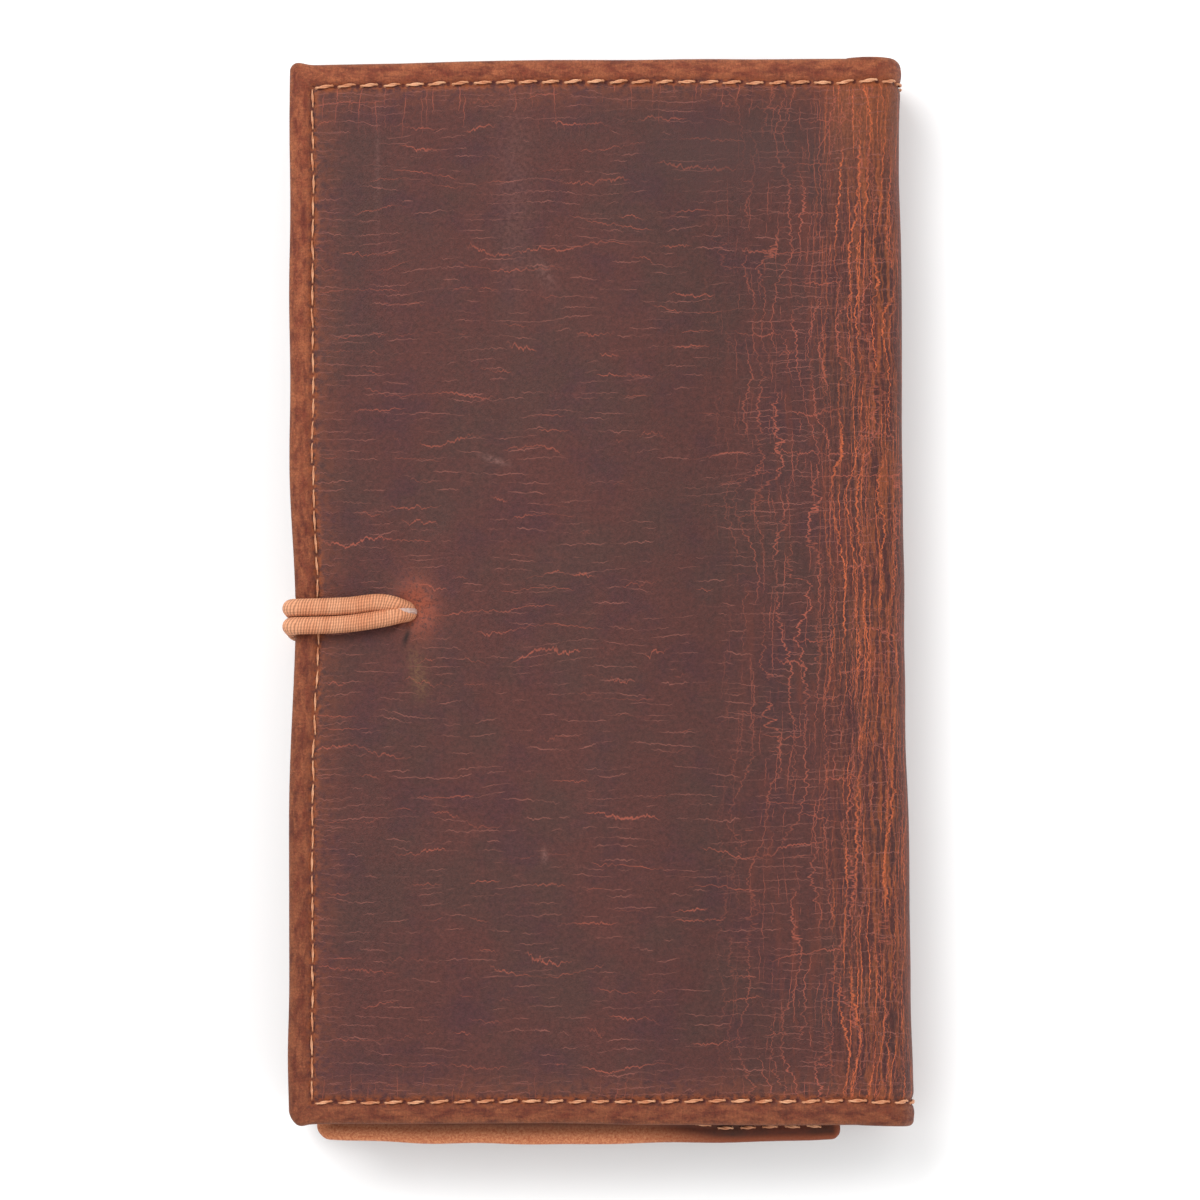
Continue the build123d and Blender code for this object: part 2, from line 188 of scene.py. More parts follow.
def relief(a, y):
    """Height of the outer face over its even shape."""
    gap, seam = edge_gap(a, y), seam_gap(a, y)
    height = -0.34 * bell(seam, 0.75) + 0.13 * bell(gap - 2.3, 1.3) + 0.08 * bell(seam - 1.9, 1.1)
    height += smooth(gap, 1, 7) * (0.16 * drift(a, y, 17, 3) + 0.07 * drift(a, y, 6, 4))
    height += (1 - smooth(gap, 4, 5)) * 0.05 * drift(a, y, 2.4, 5)
    hole = np.hypot(a - hole_a, y - hole_y)
    turn = np.arctan2(y - hole_y, a - hole_a)
    on_back = smooth(-a, 0, 10)
    rays = np.cos(9 * turn + 1.3) + 0.6 * np.cos(14 * turn)
    dish = -0.75 * bell(hole, 2.5) + 0.24 * bell(hole - 4.2, 1.5)
    height += on_back * (dish + 0.09 * rays * bell(hole - 3.8, 1.7))
    height += on_back * -0.16 * bell(y - hole_y + 0.13 * (hole_a - a), 3.2) * smooth(hole_a - a, 0, 4)
    height -= 0.55 * bell(y - stud_y, 5.5) * bell(fore_gap(a), 3.2)
    hits = np.abs(seam_phase(a, y) - np.round(seam_phase(a, y))) * STITCH
    height -= 0.26 * bell(np.hypot(hits, seam), 0.45)
    return height


def lively(a, y):
    """The sheet's outline with its wear: the pinch at the elastic, the proud corners and a slight wander."""
    fore, end = fore_gap(a), end_gap(y)
    inward = np.where(a < bend_run / 2, 1, -1)
    pinch = 1.05 * bell(y - stud_y, 17) * bell(fore, 17)
    wander = 0.16 * drift(y, a * 0, 19, 8) * bell(fore, 9)
    corner = 0.5 * bell(fore - 1.6, 1.6) * bell(end, 4)
    swell = 0.35 * bell(end - 13, 9) * bell(fore, 6) * (y < y_mid)
    outward_y = np.where(y > y_mid, 1, -1)
    wave = 0.1 * drift(a, y * 0 + y_mid, 15, 9) * bell(end, 8)
    dent = 0.5 * (1 - smooth(np.abs(y - stud_y - 0.2), 2.5, 3.9)) * bell(fore, 2.5)
    over = np.abs(a - bend_run / 2) - bend_run / 2
    sunk = 0.8 * smooth(over, 55, 104) * smooth(y, y_high - 26, y_high - 4)
    dip = 0.4 * smooth(-over, -32, -2) * bell(y - y_high + SEAM, 3.4)
    lift = 0.4 * bell(y - y_low, 3.5) * smooth(over, 30, 60)
    lift = lift - 0.25 * bell(y - y_low, 4) * smooth(-over, -45, -5)
    return a + inward * (pinch + wander - swell + dent), y + outward_y * corner + wave - sunk - dip + lift


def corner_pull(p, q):
    """How far a square corner moves in to become a quarter circle; p and q run from 0 to 1 at its edges."""
    in_corner = (p > 0) & (q > 0)
    return 1 - np.where(in_corner, np.maximum(p, q) / np.maximum(np.hypot(p, q), 1e-9), 1)


def round_corners(a, y):
    """Draws the square corners at the fore-edges in to their radius, which is smaller at the top."""
    size = np.where(y > y_mid, 0.42, 1.0) * CORNER
    p, q = np.clip(1 - fore_gap(a) / size, 0, None), np.clip(1 - end_gap(y) / size, 0, None)
    inward = np.where(a < bend_run / 2, 1, -1)
    upward = np.where(y > y_mid, -1, 1)
    return a + inward * size * p * corner_pull(p, q), y + upward * size * q * corner_pull(p, q)


def place(a, y, h):
    """Points of the sheet in the row frame, in millimetres."""
    a, y, h = np.broadcast_arrays(np.asarray(a, float), np.asarray(y, float), np.asarray(h, float))
    a, y = lively(*round_corners(a, y))
    x, z = outline(a)
    x_before, z_before = outline(a - 0.02)
    x_after, z_after = outline(a + 0.02)
    run_x, run_z = x_after - x_before, z_after - z_before
    length = np.hypot(run_x, run_z)
    share = np.clip(a / bend_run, 0, 1)
    flare = np.where(y > y_mid, 0.8, 0.35) * np.sin(pi * share) ** 0.6 * smooth(np.abs(y - y_mid), 84, 100)
    widen = 0.75 * smooth(y_mid - y, 20, 100) - 0.25 * smooth(y - y_mid, 20, 90)
    widen = (widen + 0.4 * smooth(y - y_mid, 86, 97)) * smooth(x, 0, 54)
    x = x - h * run_z / length + widen
    z = z + h * run_x / length
    return np.stack([x, y + np.sign(y - y_mid) * flare, z], -1)


# ---- meshes ----


def steps(*stops):
    """Grid lines through (position, step) stops; a step holds up to the next stop."""
    lines = [stops[0][0]]
    for (start, step), (end, _) in zip(stops, stops[1:]):
        count = max(1, round(abs(end - start) / step))
        lines += list(np.linspace(start, end, count + 1)[1:])
    return np.array(lines)


def make(name, points, faces, material, marks=None, sharp=()):
    """A smooth-shaded piece from points in millimetres, with its marks kept as attributes of the mesh."""
    mesh = bpy.data.meshes.new(name)
    mesh.from_pydata([tuple(p) for p in np.asarray(points) * MM], [], [tuple(f) for f in faces])
    for key, values in (marks or {}).items():
        layer = mesh.attributes.new(key, "FLOAT_VECTOR", "POINT")
        layer.data.foreach_set("vector", np.asarray(values, np.float32).ravel())
    mesh.polygons.foreach_set("use_smooth", [True] * len(mesh.polygons))
    if len(sharp):
        sharp_keys = {tuple(sorted(pair)) for pair in sharp}
        layer = mesh.attributes.new("sharp_edge", "BOOLEAN", "EDGE")
        layer.data.foreach_set("value", [tuple(sorted(e.vertices)) in sharp_keys for e in mesh.edges])
    mesh.update()
    mesh.materials.append(material)
    piece = bpy.data.objects.new(name, mesh)
    bpy.context.scene.collection.objects.link(piece)
    return piece


def slab(name, top, bottom, material, marks, cut_sides=()):
    """A closed piece between two grids of points. A cut side has crisp edges: "first" or "last" row."""
    rows, columns = top.shape[:2]
    number = np.arange(rows * columns).reshape(rows, columns)
    under = number + rows * columns

    def quads(a, b, c, d):
        return np.stack([a.ravel(), b.ravel(), c.ravel(), d.ravel()], -1)

    faces = [quads(number[:-1, :-1], number[1:, :-1], number[1:, 1:], number[:-1, 1:])]
    faces.append(quads(under[:-1, :-1], under[:-1, 1:], under[1:, 1:], under[1:, :-1]))
    faces.append(quads(number[0, :-1], number[0, 1:], under[0, 1:], under[0, :-1]))
    faces.append(quads(number[-1, 1:], number[-1, :-1], under[-1, :-1], under[-1, 1:]))
    faces.append(quads(number[1:, 0], number[:-1, 0], under[:-1, 0], under[1:, 0]))
    faces.append(quads(number[:-1, -1], number[1:, -1], under[1:, -1], under[:-1, -1]))
    sharp = []
    for side in cut_sides:
        row = 0 if side == "first" else -1
        for layer in (number, under):
            sharp += list(zip(layer[row, :-1].tolist(), layer[row, 1:].tolist()))
    points = np.concatenate([top.reshape(-1, 3), bottom.reshape(-1, 3)])
    both = {k: np.concatenate([v[0].reshape(-1, 3), v[1].reshape(-1, 3)]) for k, v in marks.items()}
    return make(name, points, np.concatenate(faces).tolist(), material, both, sharp)


def sheet_marks(a, y, h):
    """What the leather's material reads: the place on the sheet, the nearest edge and the nearest stitch."""
    beside_fore = fore_gap(a) < end_gap(y)
    along = np.where(beside_fore, y, a)
    return {
        "sheet": np.stack([a, y, h], -1),
        "fringe": np.stack([along, edge_gap(a, y), beside_fore * 1.0], -1),
        "seam": np.stack([seam_phase(a, y), seam_gap(a, y), 0 * a], -1),
    }


def pair_marks(a, y, top_h, bottom_h):
    top, bottom = sheet_marks(a, y, top_h), sheet_marks(a, y, bottom_h)
    return {key: (top[key], bottom[key]) for key in top}


def rounding(gap, size):
    """How far a face drops at a rounded edge."""
    inside = np.clip(size - gap, 0, size)
    return size - np.sqrt(size**2 - inside**2)


def leather_piece(name, a_lines, y_lines, material, cut_sides):
    """One stretch of the outer leather with its turned edges."""
    a, y = np.meshgrid(a_lines, y_lines, indexing="ij")
    gap = edge_gap(a, y)
    top_h = relief(a, y) - rounding(gap, EDGE_ROUND)
    fill = smooth(gap, TURNED - 0.1, TURNED + 0.4)
    bottom_h = -COVER + (COVER - LEATHER) * fill + rounding(gap, 0.7)
    marks = pair_marks(a, y, top_h, bottom_h)
    return slab(name, place(a, y, top_h), place(a, y, bottom_h), material, marks, cut_sides)


def lining_piece(name, a_lines, y_lines, material, cut_sides):
    """One stretch of the lining, which lies between the turned edges."""
    a, y = np.meshgrid(a_lines, y_lines, indexing="ij")
    gap = edge_gap(a, y) - LINING_INSET
    over_board = 1 - smooth(a, -0.2, 0.6) * smooth(bend_run - a, -0.2, 0.6)
    top_h = -1.6 - 0.62 * over_board
    wrinkle = 0.05 * drift(a, y, 9, 21) + 0.12 * np.sin(a * 1.35) * (1 - over_board)
    bottom_h = -3.02 + rounding(gap, 0.3) + smooth(gap, 0.5, 6) * wrinkle
    marks = pair_marks(a, y, top_h, bottom_h)
    return slab(name, place(a, y, top_h), place(a, y, bottom_h), material, marks, cut_sides)


STITCH_SIDES = 7
STITCH_TURNS = 0.9  # how often the two plies turn round each other in one stitch


def ring_faces(rings, sides, base=0):
    """Quads between rings of points, and a cap at each end."""
    faces = []
    for i in range(rings - 1):
        row, above = base + i * sides, base + (i + 1) * sides
        for k in range(sides):
            n = (k + 1) % sides
            faces.append((row + k, row + n, above + n, above + k))
    faces.append(tuple(base + k for k in reversed(range(sides))))
    faces.append(tuple(base + (rings - 1) * sides + k for k in range(sides)))
    return faces


def stitch_form(length, lift, ply=0.18, rings=15):
    """One two-ply stitch as rings of (along, across, up), and its faces."""
    t = np.linspace(0, 1, rings)
    psi = np.linspace(0, 2 * pi, STITCH_SIDES, endpoint=False)
    points, faces = [], []
    for number in (0, 1):
        twist = number * pi + 2 * pi * STITCH_TURNS * (t - 0.5)
        taper = np.sqrt(np.clip(1 - np.abs(2 * t - 1) ** 9, 0.02, 1))
        rise = lift * (1 - np.abs(2 * t - 1) ** 3.2) - 0.45 * np.abs(2 * t - 1) ** 6
        across = 0.88 * ply * np.cos(twist) * taper
        up = rise + 0.88 * ply * np.sin(twist) * taper
        along = np.broadcast_to(((t - 0.5) * length)[:, None], (rings, STITCH_SIDES))
        aside = across[:, None] + ply * taper[:, None] * np.cos(psi)
        above = up[:, None] + ply * taper[:, None] * np.sin(psi)
        points.append(np.stack([along, aside, above], -1).reshape(-1, 3))
        faces += ring_faces(rings, STITCH_SIDES, number * rings * STITCH_SIDES)
    return np.concatenate(points), faces


def sew(spots, length, lift, side=1, slant=0.0, **form):
    """Stitches on the sheet at (a, y, along_y, h) spots, as points of the sheet and faces."""
    shape, faces = stitch_form(length, lift, **form)
    all_points, all_faces = [], []
    for a, y, along_y, h in spots:
        size = chance.uniform(0.93, 1.05)
        lean = slant + chance.normal(0, 0.04)
        u, v, w = shape[:, 0] * size, shape[:, 1], shape[:, 2] * chance.uniform(0.85, 1.1)
        u, v = u * cos(lean) - v * sin(lean), u * sin(lean) + v * cos(lean)
        if along_y:
            u, v = -v, u
        u, v = u + chance.normal(0, 0.05), v + chance.normal(0, 0.045)
        placed = np.stack([a + u, y + v, h + side * w], -1)
        order = faces if side > 0 else [tuple(reversed(f)) for f in faces]
        all_faces += [tuple(i + len(all_points) * len(shape) for i in f) for f in order]
        all_points.append(placed)
    return np.concatenate(all_points), all_faces


def joined(*parts):
    points, faces, count = [], [], 0
    for some_points, some_faces in parts:
        points.append(some_points)
        faces += [tuple(i + count for i in f) for f in some_faces]
        count += len(some_points)
    return np.concatenate(points), faces


# ---- node materials ----


def tint(code, gloss=0.025):
    """A material colour that looks like a hex code once the soft light's gloss has whitened it."""
    parts = [int(code[i : i + 2], 16) / 255 for i in (0, 2, 4)]
    linear = [p / 12.92 if p < 0.04045 else ((p + 0.055) / 1.055) ** 2.4 for p in parts]
    return tuple(max((v - gloss) / LIGHT, 0.002) for v in linear) + (1.0,)


class Look:
    """A material and the nodes that make it."""

    def __init__(self, name, roughness=0.5, specular=0.5, sheen=0.0, metallic=0.0):
        self.material = bpy.data.materials.new(name)
        self.material.use_nodes = True
        self.tree = self.material.node_tree
        self.shader = self.tree.nodes["Principled BSDF"]
        self.shader.inputs["Roughness"].default_value = roughness
        self.shader.inputs["Specular IOR Level"].default_value = specular
        self.shader.inputs["Sheen Weight"].default_value = sheen
        self.shader.inputs["Sheen Roughness"].default_value = 0.5
        self.shader.inputs["Metallic"].default_value = metallic

    def feed(self, socket, value):
        if isinstance(value, bpy.types.NodeSocket):
            self.tree.links.new(value, socket)
        else:
            socket.default_value = value

    def node(self, kind, feeds=None, **settings):
        made = self.tree.nodes.new(kind)
        for key, value in settings.items():
            setattr(made, key, value)
        for key, value in (feeds or {}).items():
            self.feed(made.inputs[key], value)
        return made

    def mark(self, name):
        return self.node("ShaderNodeAttribute", attribute_name=name).outputs["Vector"]

    def split(self, vector):
        made = self.node("ShaderNodeSeparateXYZ", {0: vector})
        return made.outputs[0], made.outputs[1], made.outputs[2]

    def math(self, operation, first, second=0.0, third=0.0):
        return self.node("ShaderNodeMath", {0: first, 1: second, 2: third}, operation=operation).outputs[0]

    def vectors(self, operation, first, second):
        return self.node("ShaderNodeVectorMath", {0: first, 1: second}, operation=operation).outputs[0]

    def most(self, *values):
        """The highest of several numbers."""
        result = values[0]
        for value in values[1:]:
            result = self.math("MAXIMUM", result, value)
        return result

    def times(self, *values):
        result = values[0]
        for value in values[1:]:
            result = self.math("MULTIPLY", result, value)
        return result

    def plus(self, *values):
        result = values[0]
        for value in values[1:]:
            result = self.math("ADD", result, value)
        return result

    def stretch(self, vector, scale, offset=(0, 0, 0)):
        feeds = {"Vector": vector, "Scale": scale, "Location": offset}
        return self.node("ShaderNodeMapping", feeds, vector_type="POINT").outputs[0]

    def noise(self, vector, scale, detail=3.0, rough=0.55):
        feeds = {"Vector": vector, "Scale": scale, "Detail": detail, "Roughness": rough}
        return self.node("ShaderNodeTexNoise", feeds).outputs[0]

    def grain(self, vector, scale, detail=3.0, rough=0.6, shift=(0, 0, 0)):
        """A noise that is stretched, and may be moved."""
        return self.noise(self.stretch(vector, scale, shift), 1.0, detail, rough)

    def cells(self, vector, scale):
        """Distance to the borders between cells."""
        feeds = {"Vector": vector, "Scale": scale}
        return self.node("ShaderNodeTexVoronoi", feeds, feature="DISTANCE_TO_EDGE").outputs["Distance"]

    def bent(self, vector, scale, amount):
        """A vector pushed about by a noise, for wavy lines."""
        feeds = {"Vector": vector, "Scale": scale, "Detail": 2.0}
        push = self.node("ShaderNodeTexNoise", feeds).outputs["Color"]
        centred = self.vectors("SUBTRACT", push, (0.5, 0.5, 0.5))
        return self.vectors("ADD", vector, self.shade(centred, amount))

    def step(self, value, low, high, start=0.0, end=1.0):
        """A smooth rise from start at low to end at high."""
        feeds = {"Value": value, "From Min": low, "From Max": high, "To Min": start, "To Max": end}
        return self.node("ShaderNodeMapRange", feeds, interpolation_type="SMOOTHSTEP").outputs[0]

    def fall(self, value, low, high):
        """1 below low and 0 above high."""
        return self.step(value, low, high, 1.0, 0.0)

    def window(self, value, rise, drop, outer=0.0):
        """Rises from outer to 1 over one range of the value, and drops back over a later one."""
        return self.times(self.step(value, *rise, outer, 1.0), self.step(value, *drop, 1.0, outer))

    def strokes(self, across, along, spacing, width, wander, reach, keep, seed):
        """Long thin cracks running one way: 1 on a crack. They wander, lie unevenly and break off."""
        point = self.node("ShaderNodeCombineXYZ", {0: across, 1: along, 2: seed * 3.1}).outputs[0]
        slow = self.math("SUBTRACT", self.grain(point, (0.09, 0.05, 1), 1.0, 0.5), 0.5)
        quick = self.math("SUBTRACT", self.grain(point, (0.13, 0.7, 1), 3.0, 0.7), 0.5)
        wandered = self.plus(across, self.times(slow, wander * 4), self.times(quick, wander * 1.15))
        count = self.times(wandered, 1 / spacing)
        number = self.math("FLOOR", count)
        by_chance = self.node("ShaderNodeTexWhiteNoise", {"W": number}, noise_dimensions="1D")
        middle = self.plus(number, 0.22, self.times(by_chance.outputs["Value"], 0.56))
        away = self.times(self.math("ABSOLUTE", self.math("SUBTRACT", count, middle)), spacing)
        place_on_it = {0: self.times(number, 3.71), 1: self.times(along, reach), 2: seed}
        life_point = self.node("ShaderNodeCombineXYZ", place_on_it).outputs[0]
        life = self.noise(life_point, 1.0, 2.0, 0.6)
        boldness = self.grain(life_point, (1.7, 2.3, 1), 1.0, 0.6, (0, 19, 0))
        thick = self.step(life, keep, keep + 0.16, width * 0.55, width * 1.25)
        body = self.fall(self.math("DIVIDE", away, thick), 0.35, 1.0)
        alive, bold = self.step(life, keep, keep + 0.05), self.step(boldness, 0.34, 0.6, 0.4, 1.0)
        return self.times(body, alive, bold)

    def mix(self, factor, first, second, blend="MIX"):
        made = self.node("ShaderNodeMix", data_type="RGBA", blend_type=blend)
        self.feed(made.inputs[0], factor)
        self.feed(made.inputs[6], first)
        self.feed(made.inputs[7], second)
        return made.outputs[2]

    def shade(self, colour, factor):
        """A colour made lighter or darker by a number."""
        return self.node("ShaderNodeVectorMath", {0: colour, "Scale": factor}, operation="SCALE").outputs[0]

    def vary(self, colour, value, low, high, dark, light):
        """A colour shaded from dark at low to light at high."""
        return self.shade(colour, self.step(value, low, high, dark, light))

    def toward(self, colour, code, *amounts):
        """A colour mixed towards a hex code by the product of the amounts."""
        return self.mix(self.times(*amounts), colour, tint(code))

    def patch(self, vector, shift, scale, detail=4.0, rough=0.6):
        """A noise that is moved, so that two of one scale differ."""
        return self.noise(self.stretch(vector, (1, 1, 1), shift), scale, detail, rough)

    def finish(self, colour, roughness=None, height=None, depth=0.1):
        """Joins the colour, the roughness and a height in millimetres to the shader."""
        self.feed(self.shader.inputs["Base Color"], colour)
        if roughness is not None:
            self.feed(self.shader.inputs["Roughness"], roughness)
        if height is not None:
            bump = self.node("ShaderNodeBump", {"Strength": 1.0, "Distance": depth * MM, "Height": height})
            self.feed(self.shader.inputs["Normal"], bump.outputs[0])
        return self.material


class CoverLeather(Look):
    """Waxed pull-up leather, cracked by the spine and rubbed lighter along its edges."""

    def __init__(self):
        super().__init__("cover_leather", roughness=0.55, specular=0.25)
        self.sheet = self.mark("sheet")
        self.a, self.y, self.hollow = self.split(self.sheet)
        self.along, self.edge, self.beside = self.split(self.mark("fringe"))
        self.phase, self.seam_away, _ = self.split(self.mark("seam"))
        # textures that several sections share
        self.mottle = self.noise(self.sheet, 1.3, 5.0, 0.7)
        self.speckle = self.noise(self.sheet, 3.4, 2.0, 0.7)
        self.warm_noise = self.noise(self.sheet, 0.75, 4.0, 0.65)
        self.fibres = self.grain(self.bent(self.sheet, 0.3, 1.5), (1.5, 0.07, 0.5), 4.0, 0.66)
        self.crumbs = self.grain(self.sheet, (2.4, 1.0, 1.0), 4.0, 0.8)
        self.fuzz = self.noise(self.bent(self.sheet, 0.9, 1.0), 2.6, 4.0, 0.8)
        # places, as numbers of 0 to 1
        self.spine = self.about_bend(-31.0, -9.0)
        self.crease = self.about_bend(-8.0, -0.5)
        self.calm = self.math("SUBTRACT", 1.0, self.times(self.about_bend(11.0, 17.0), 0.8))
        self.field = self.step(self.edge, 4.4, 5.4)
        self.band = self.fall(self.edge, 2.9, 4.6)

    def about_bend(self, low, high, outer=0.0):
        """Rises from low to high on the way round the bend, and falls again at the other end of it."""
        return self.window(self.a, (low, high), (bend_run - high, bend_run - low), outer)

    def oval(self, centre, size, lean=0.0):
        """A soft oval spot on the sheet."""
        along, across = self.math("SUBTRACT", self.a, centre[0]), self.math("SUBTRACT", self.y, centre[1])
        u = self.plus(self.times(along, cos(lean) / size[0]), self.times(across, sin(lean) / size[0]))
        v = self.plus(self.times(along, -sin(lean) / size[1]), self.times(across, cos(lean) / size[1]))
        reach = self.plus(self.times(u, u), self.times(v, v))
        return self.math("EXPONENT", self.times(reach, -1.0))

    def lay(self, code, *amounts):
        """Mixes the colour so far towards a hex code."""
        self.colour = self.toward(self.colour, code, *amounts)

    def ground(self):
        """Red-brown, with olive and purple-brown clouds."""
        cloud = self.noise(self.sheet, 0.045, 4.0, 0.6)
        self.colour = self.mix(self.step(cloud, 0.42, 0.62), tint("66433f"), tint("5f4440"))
        self.lay("5b3f42", self.step(self.patch(self.sheet, (31, 7, 0), 0.08), 0.46, 0.7), 0.7)
        self.lay("6f4843", self.step(self.patch(self.sheet, (-12, 60, 0), 0.2, 5.0, 0.65), 0.52, 0.74), 0.6)
        self.colour = self.vary(self.colour, self.mottle, 0.28, 0.72, 0.74, 1.26)
        self.colour = self.vary(self.colour, self.speckle, 0.3, 0.7, 0.82, 1.06)
        self.colour = self.vary(self.colour, self.a, -52.0, -24.0, 1.0, 0.88)

    def cracks_across(self):
        """Long thin cracks across the cover, and short branches by the stitches and the spine."""
        a, y = self.a, self.y
        near_seam = self.fall(self.seam_away, 1.0, 9.0)
        bold_here = self.step(self.patch(self.sheet, (5, -40, 0), 0.055, 2.0, 0.5), 0.38, 0.5)
        fine_here = self.step(self.patch(self.sheet, (90, 12, 0), 0.12, 2.0, 0.5), 0.38, 0.52)
        self.across_bold = self.times(self.strokes(y, a, 4.0, 0.13, 2.2, 0.06, 0.5, 1.0), bold_here)
        fine = self.strokes(y, a, 1.9, 0.095, 1.3, 0.11, 0.48, 2.0)
        fine = self.times(fine, self.most(fine_here, near_seam))
        short = self.strokes(y, a, 1.5, 0.09, 1.1, 0.2, 0.47, 6.0)
        branches = self.times(short, self.most(self.spine, near_seam), 0.8)
        self.across_all = self.times(self.most(fine, branches), self.field)

    def cracks_down(self):
        """Cracks along the spine, leaning a little towards the bottom."""
        y = self.y
        below = self.math("MINIMUM", self.math("SUBTRACT", y, y_mid - 15), 0.0)
        lean = self.plus(self.a, self.times(below, -0.06))
        wide = self.strokes(lean, y, 2.3, 0.18, 1.9, 0.024, 0.42, 3.0)
        narrow = self.strokes(lean, y, 0.95, 0.1, 0.7, 0.05, 0.48, 7.0)
        self.down_bold = self.times(self.most(wide, narrow), self.crease)
        middling = self.times(self.strokes(lean, y, 2.9, 0.14, 3.4, 0.035, 0.42, 4.0), self.spine)
        top_end = self.step(y, y_high - 17, y_high - 6)
        low_end = self.times(self.fall(y, y_low + 5, y_low + 12), 0.7)
        fine = self.strokes(lean, y, 1.2, 0.085, 1.1, 0.1, 0.52, 5.0)
        fine = self.times(fine, self.most(top_end, low_end, self.spine))
        self.down_all = self.times(self.most(middling, fine), self.field)

    def warmth(self):
        """Warmer leather by the stitches and the spine."""
        warm = self.times(self.fall(self.seam_away, 0.3, 7.5), self.step(self.warm_noise, 0.3, 0.68))
        self.lay("85503f", warm, 0.62)
        edge_of_bend = self.about_bend(-2.0, 6.0, 0.35)
        orange = self.times(self.crease, edge_of_bend, self.step(self.fibres, 0.45, 0.62), self.calm)
        self.lay("583634", self.crease, 0.55, self.step(self.fibres, 0.55, 0.32), self.calm)
        self.lay("a05a3d", orange, 0.8)
        streaks = self.grain(self.bent(self.sheet, 0.3, 1.6), (0.5, 0.035, 0.5), 4.0, 0.6, (7, 2, 0))
        self.lay("80483b", self.spine, self.step(streaks, 0.5, 0.68), 0.35)
        rim = self.window(self.a, (8.5, 11.0), (13.0, 19.0))
        self.lay("62372d", self.times(rim, self.step(self.y, y_mid - 70, y_mid + 60, 0.7, 0.85)))
        by_spine = self.window(self.a, (-6.0, 1.0), (9.0, 14.0))
        self.lay("96593f", self.times(by_spine, self.step(self.y, y_high - 34, y_high - 6)), 0.6)

    def crack_colours(self):
        """The cracks are lighter than the leather about them, and crumble in the crease."""
        self.lay("9d665c", self.across_all, 0.8)
        self.lay("aa6152", self.across_bold, self.field, 0.9)
        self.lay("ad6252", self.down_all, 0.95, self.step(self.calm, 0.0, 1.0, 0.35, 1.0))
        broken = self.step(self.crumbs, 0.3, 0.55, 0.35, 1.0)
        self.lay("c86b4a", self.down_bold, self.field, broken, self.calm)
        crushed = self.shade((1.0, 1.0, 1.0), self.step(self.crumbs, 0.3, 0.7, 0.62, 1.34))
        crushed = self.mix(self.crease, (1.0, 1.0, 1.0, 1.0), crushed)
        self.colour = self.mix(1.0, self.colour, crushed, "MULTIPLY")
        halo = self.times(self.fall(self.seam_away, 0.2, 1.7), self.step(self.warm_noise, 0.4, 0.62))
        self.lay("a65f40", halo, 0.8)

    def marks_of_use(self):
        """Rubbed spots and one dull patch."""
        rubbed = self.plus(
            self.times(self.oval((first_a + 42.2, y_high - 26), (3.0, 19)), 0.28),
            self.times(self.oval((first_a + 16.6, y_high - 20), (0.5, 13)), 0.28),
            self.times(self.oval((first_a + 48.0, y_high - 41), (1.4, 3.0), 0.5), 0.5),
            self.oval((first_a + 38.5, y_low + 124), (2.4, 0.55), -0.35),
            self.oval((first_a + 47.5, y_low + 50), (0.5, 1.2)),
        )
        self.lay("8a6660", rubbed, self.step(self.mottle, 0.3, 0.7))
        self.lay("5c4644", self.oval((first_a + 83.0, y_high - 18), (17, 8)), 0.6)

    def ring_at_hole(self):
        """The frayed ring about the elastic's hole, an olive streak below it and the painted shadow of a short
        crease.
        """
        frayed = self.noise(self.bent(self.sheet, 1.3, 1.4), 1.5, 4.0, 0.7)
        ring = self.oval((hole_a + 0.9, hole_y + 0.6), (3.6, 5.4), 0.25)
        self.lay("ac5f4b", ring, self.step(frayed, 0.32, 0.54), 0.95)
        streak = self.oval((hole_a + 1.0, hole_y - 12), (1.5, 4.5), 0.2)
        self.lay("80604a", streak, self.step(frayed, 0.35, 0.6), 0.8)
        # Painted shade: a dark short mark below the hole, the shadow in a crease.
        self.lay("2e1c1c", self.oval((hole_a - 1.2, hole_y - 5.0), (0.55, 1.7), -0.3), 0.85)

    def edge_band(self):
        """The rubbed band outside the stitches, with its streaks along the edge, and the turned edge."""
        point = self.node("ShaderNodeCombineXYZ", {0: self.along, 1: self.edge}).outputs[0]
        soft = self.grain(point, (0.22, 0.5, 1), 5.0, 0.7)
        rubbed = self.mix(self.step(soft, 0.34, 0.66), tint("84493b"), tint("ac684b"))
        rubbed = self.toward(rubbed, "aa6c4e", self.fall(self.edge, 0.2, 1.5), 0.5)
        smudge = self.grain(point, (0.2, 0.62, 1), 5.0, 0.68, (17, 3, 0))
        rubbed = self.toward(rubbed, "683a35", self.step(smudge, 0.46, 0.66), 0.7)
        bright_top = self.step(self.y, y_mid - 80, y_high)
        rubbed = self.shade(rubbed, self.plus(0.86, self.times(bright_top, 0.28)))
        rubbed = self.vary(rubbed, self.grain(point, (2.4, 0.6, 1), 3.0, 0.75), 0.3, 0.7, 0.84, 1.16)
        rubbed = self.vary(rubbed, self.fuzz, 0.3, 0.7, 0.72, 1.28)
        self.colour = self.mix(self.times(self.band, 0.92), self.colour, rubbed)
        self.lay("84503a", self.step(self.hollow, -0.9, -0.2, 0.55, 0.0))

    def needle_hole_shade(self):
        """Painted shade: a dark dot at each end of a stitch, where its needle hole lies in shadow."""
        nearest = self.times(self.math("SUBTRACT", self.phase, self.math("ROUND", self.phase)), STITCH)
        squares = self.plus(self.math("POWER", nearest, 2.0), self.math("POWER", self.seam_away, 2.0))
        away = self.plus(self.math("SQRT", squares), self.times(self.beside, 0.2))
        self.lay("521f14", self.fall(away, 0.24, 0.56), 0.8)

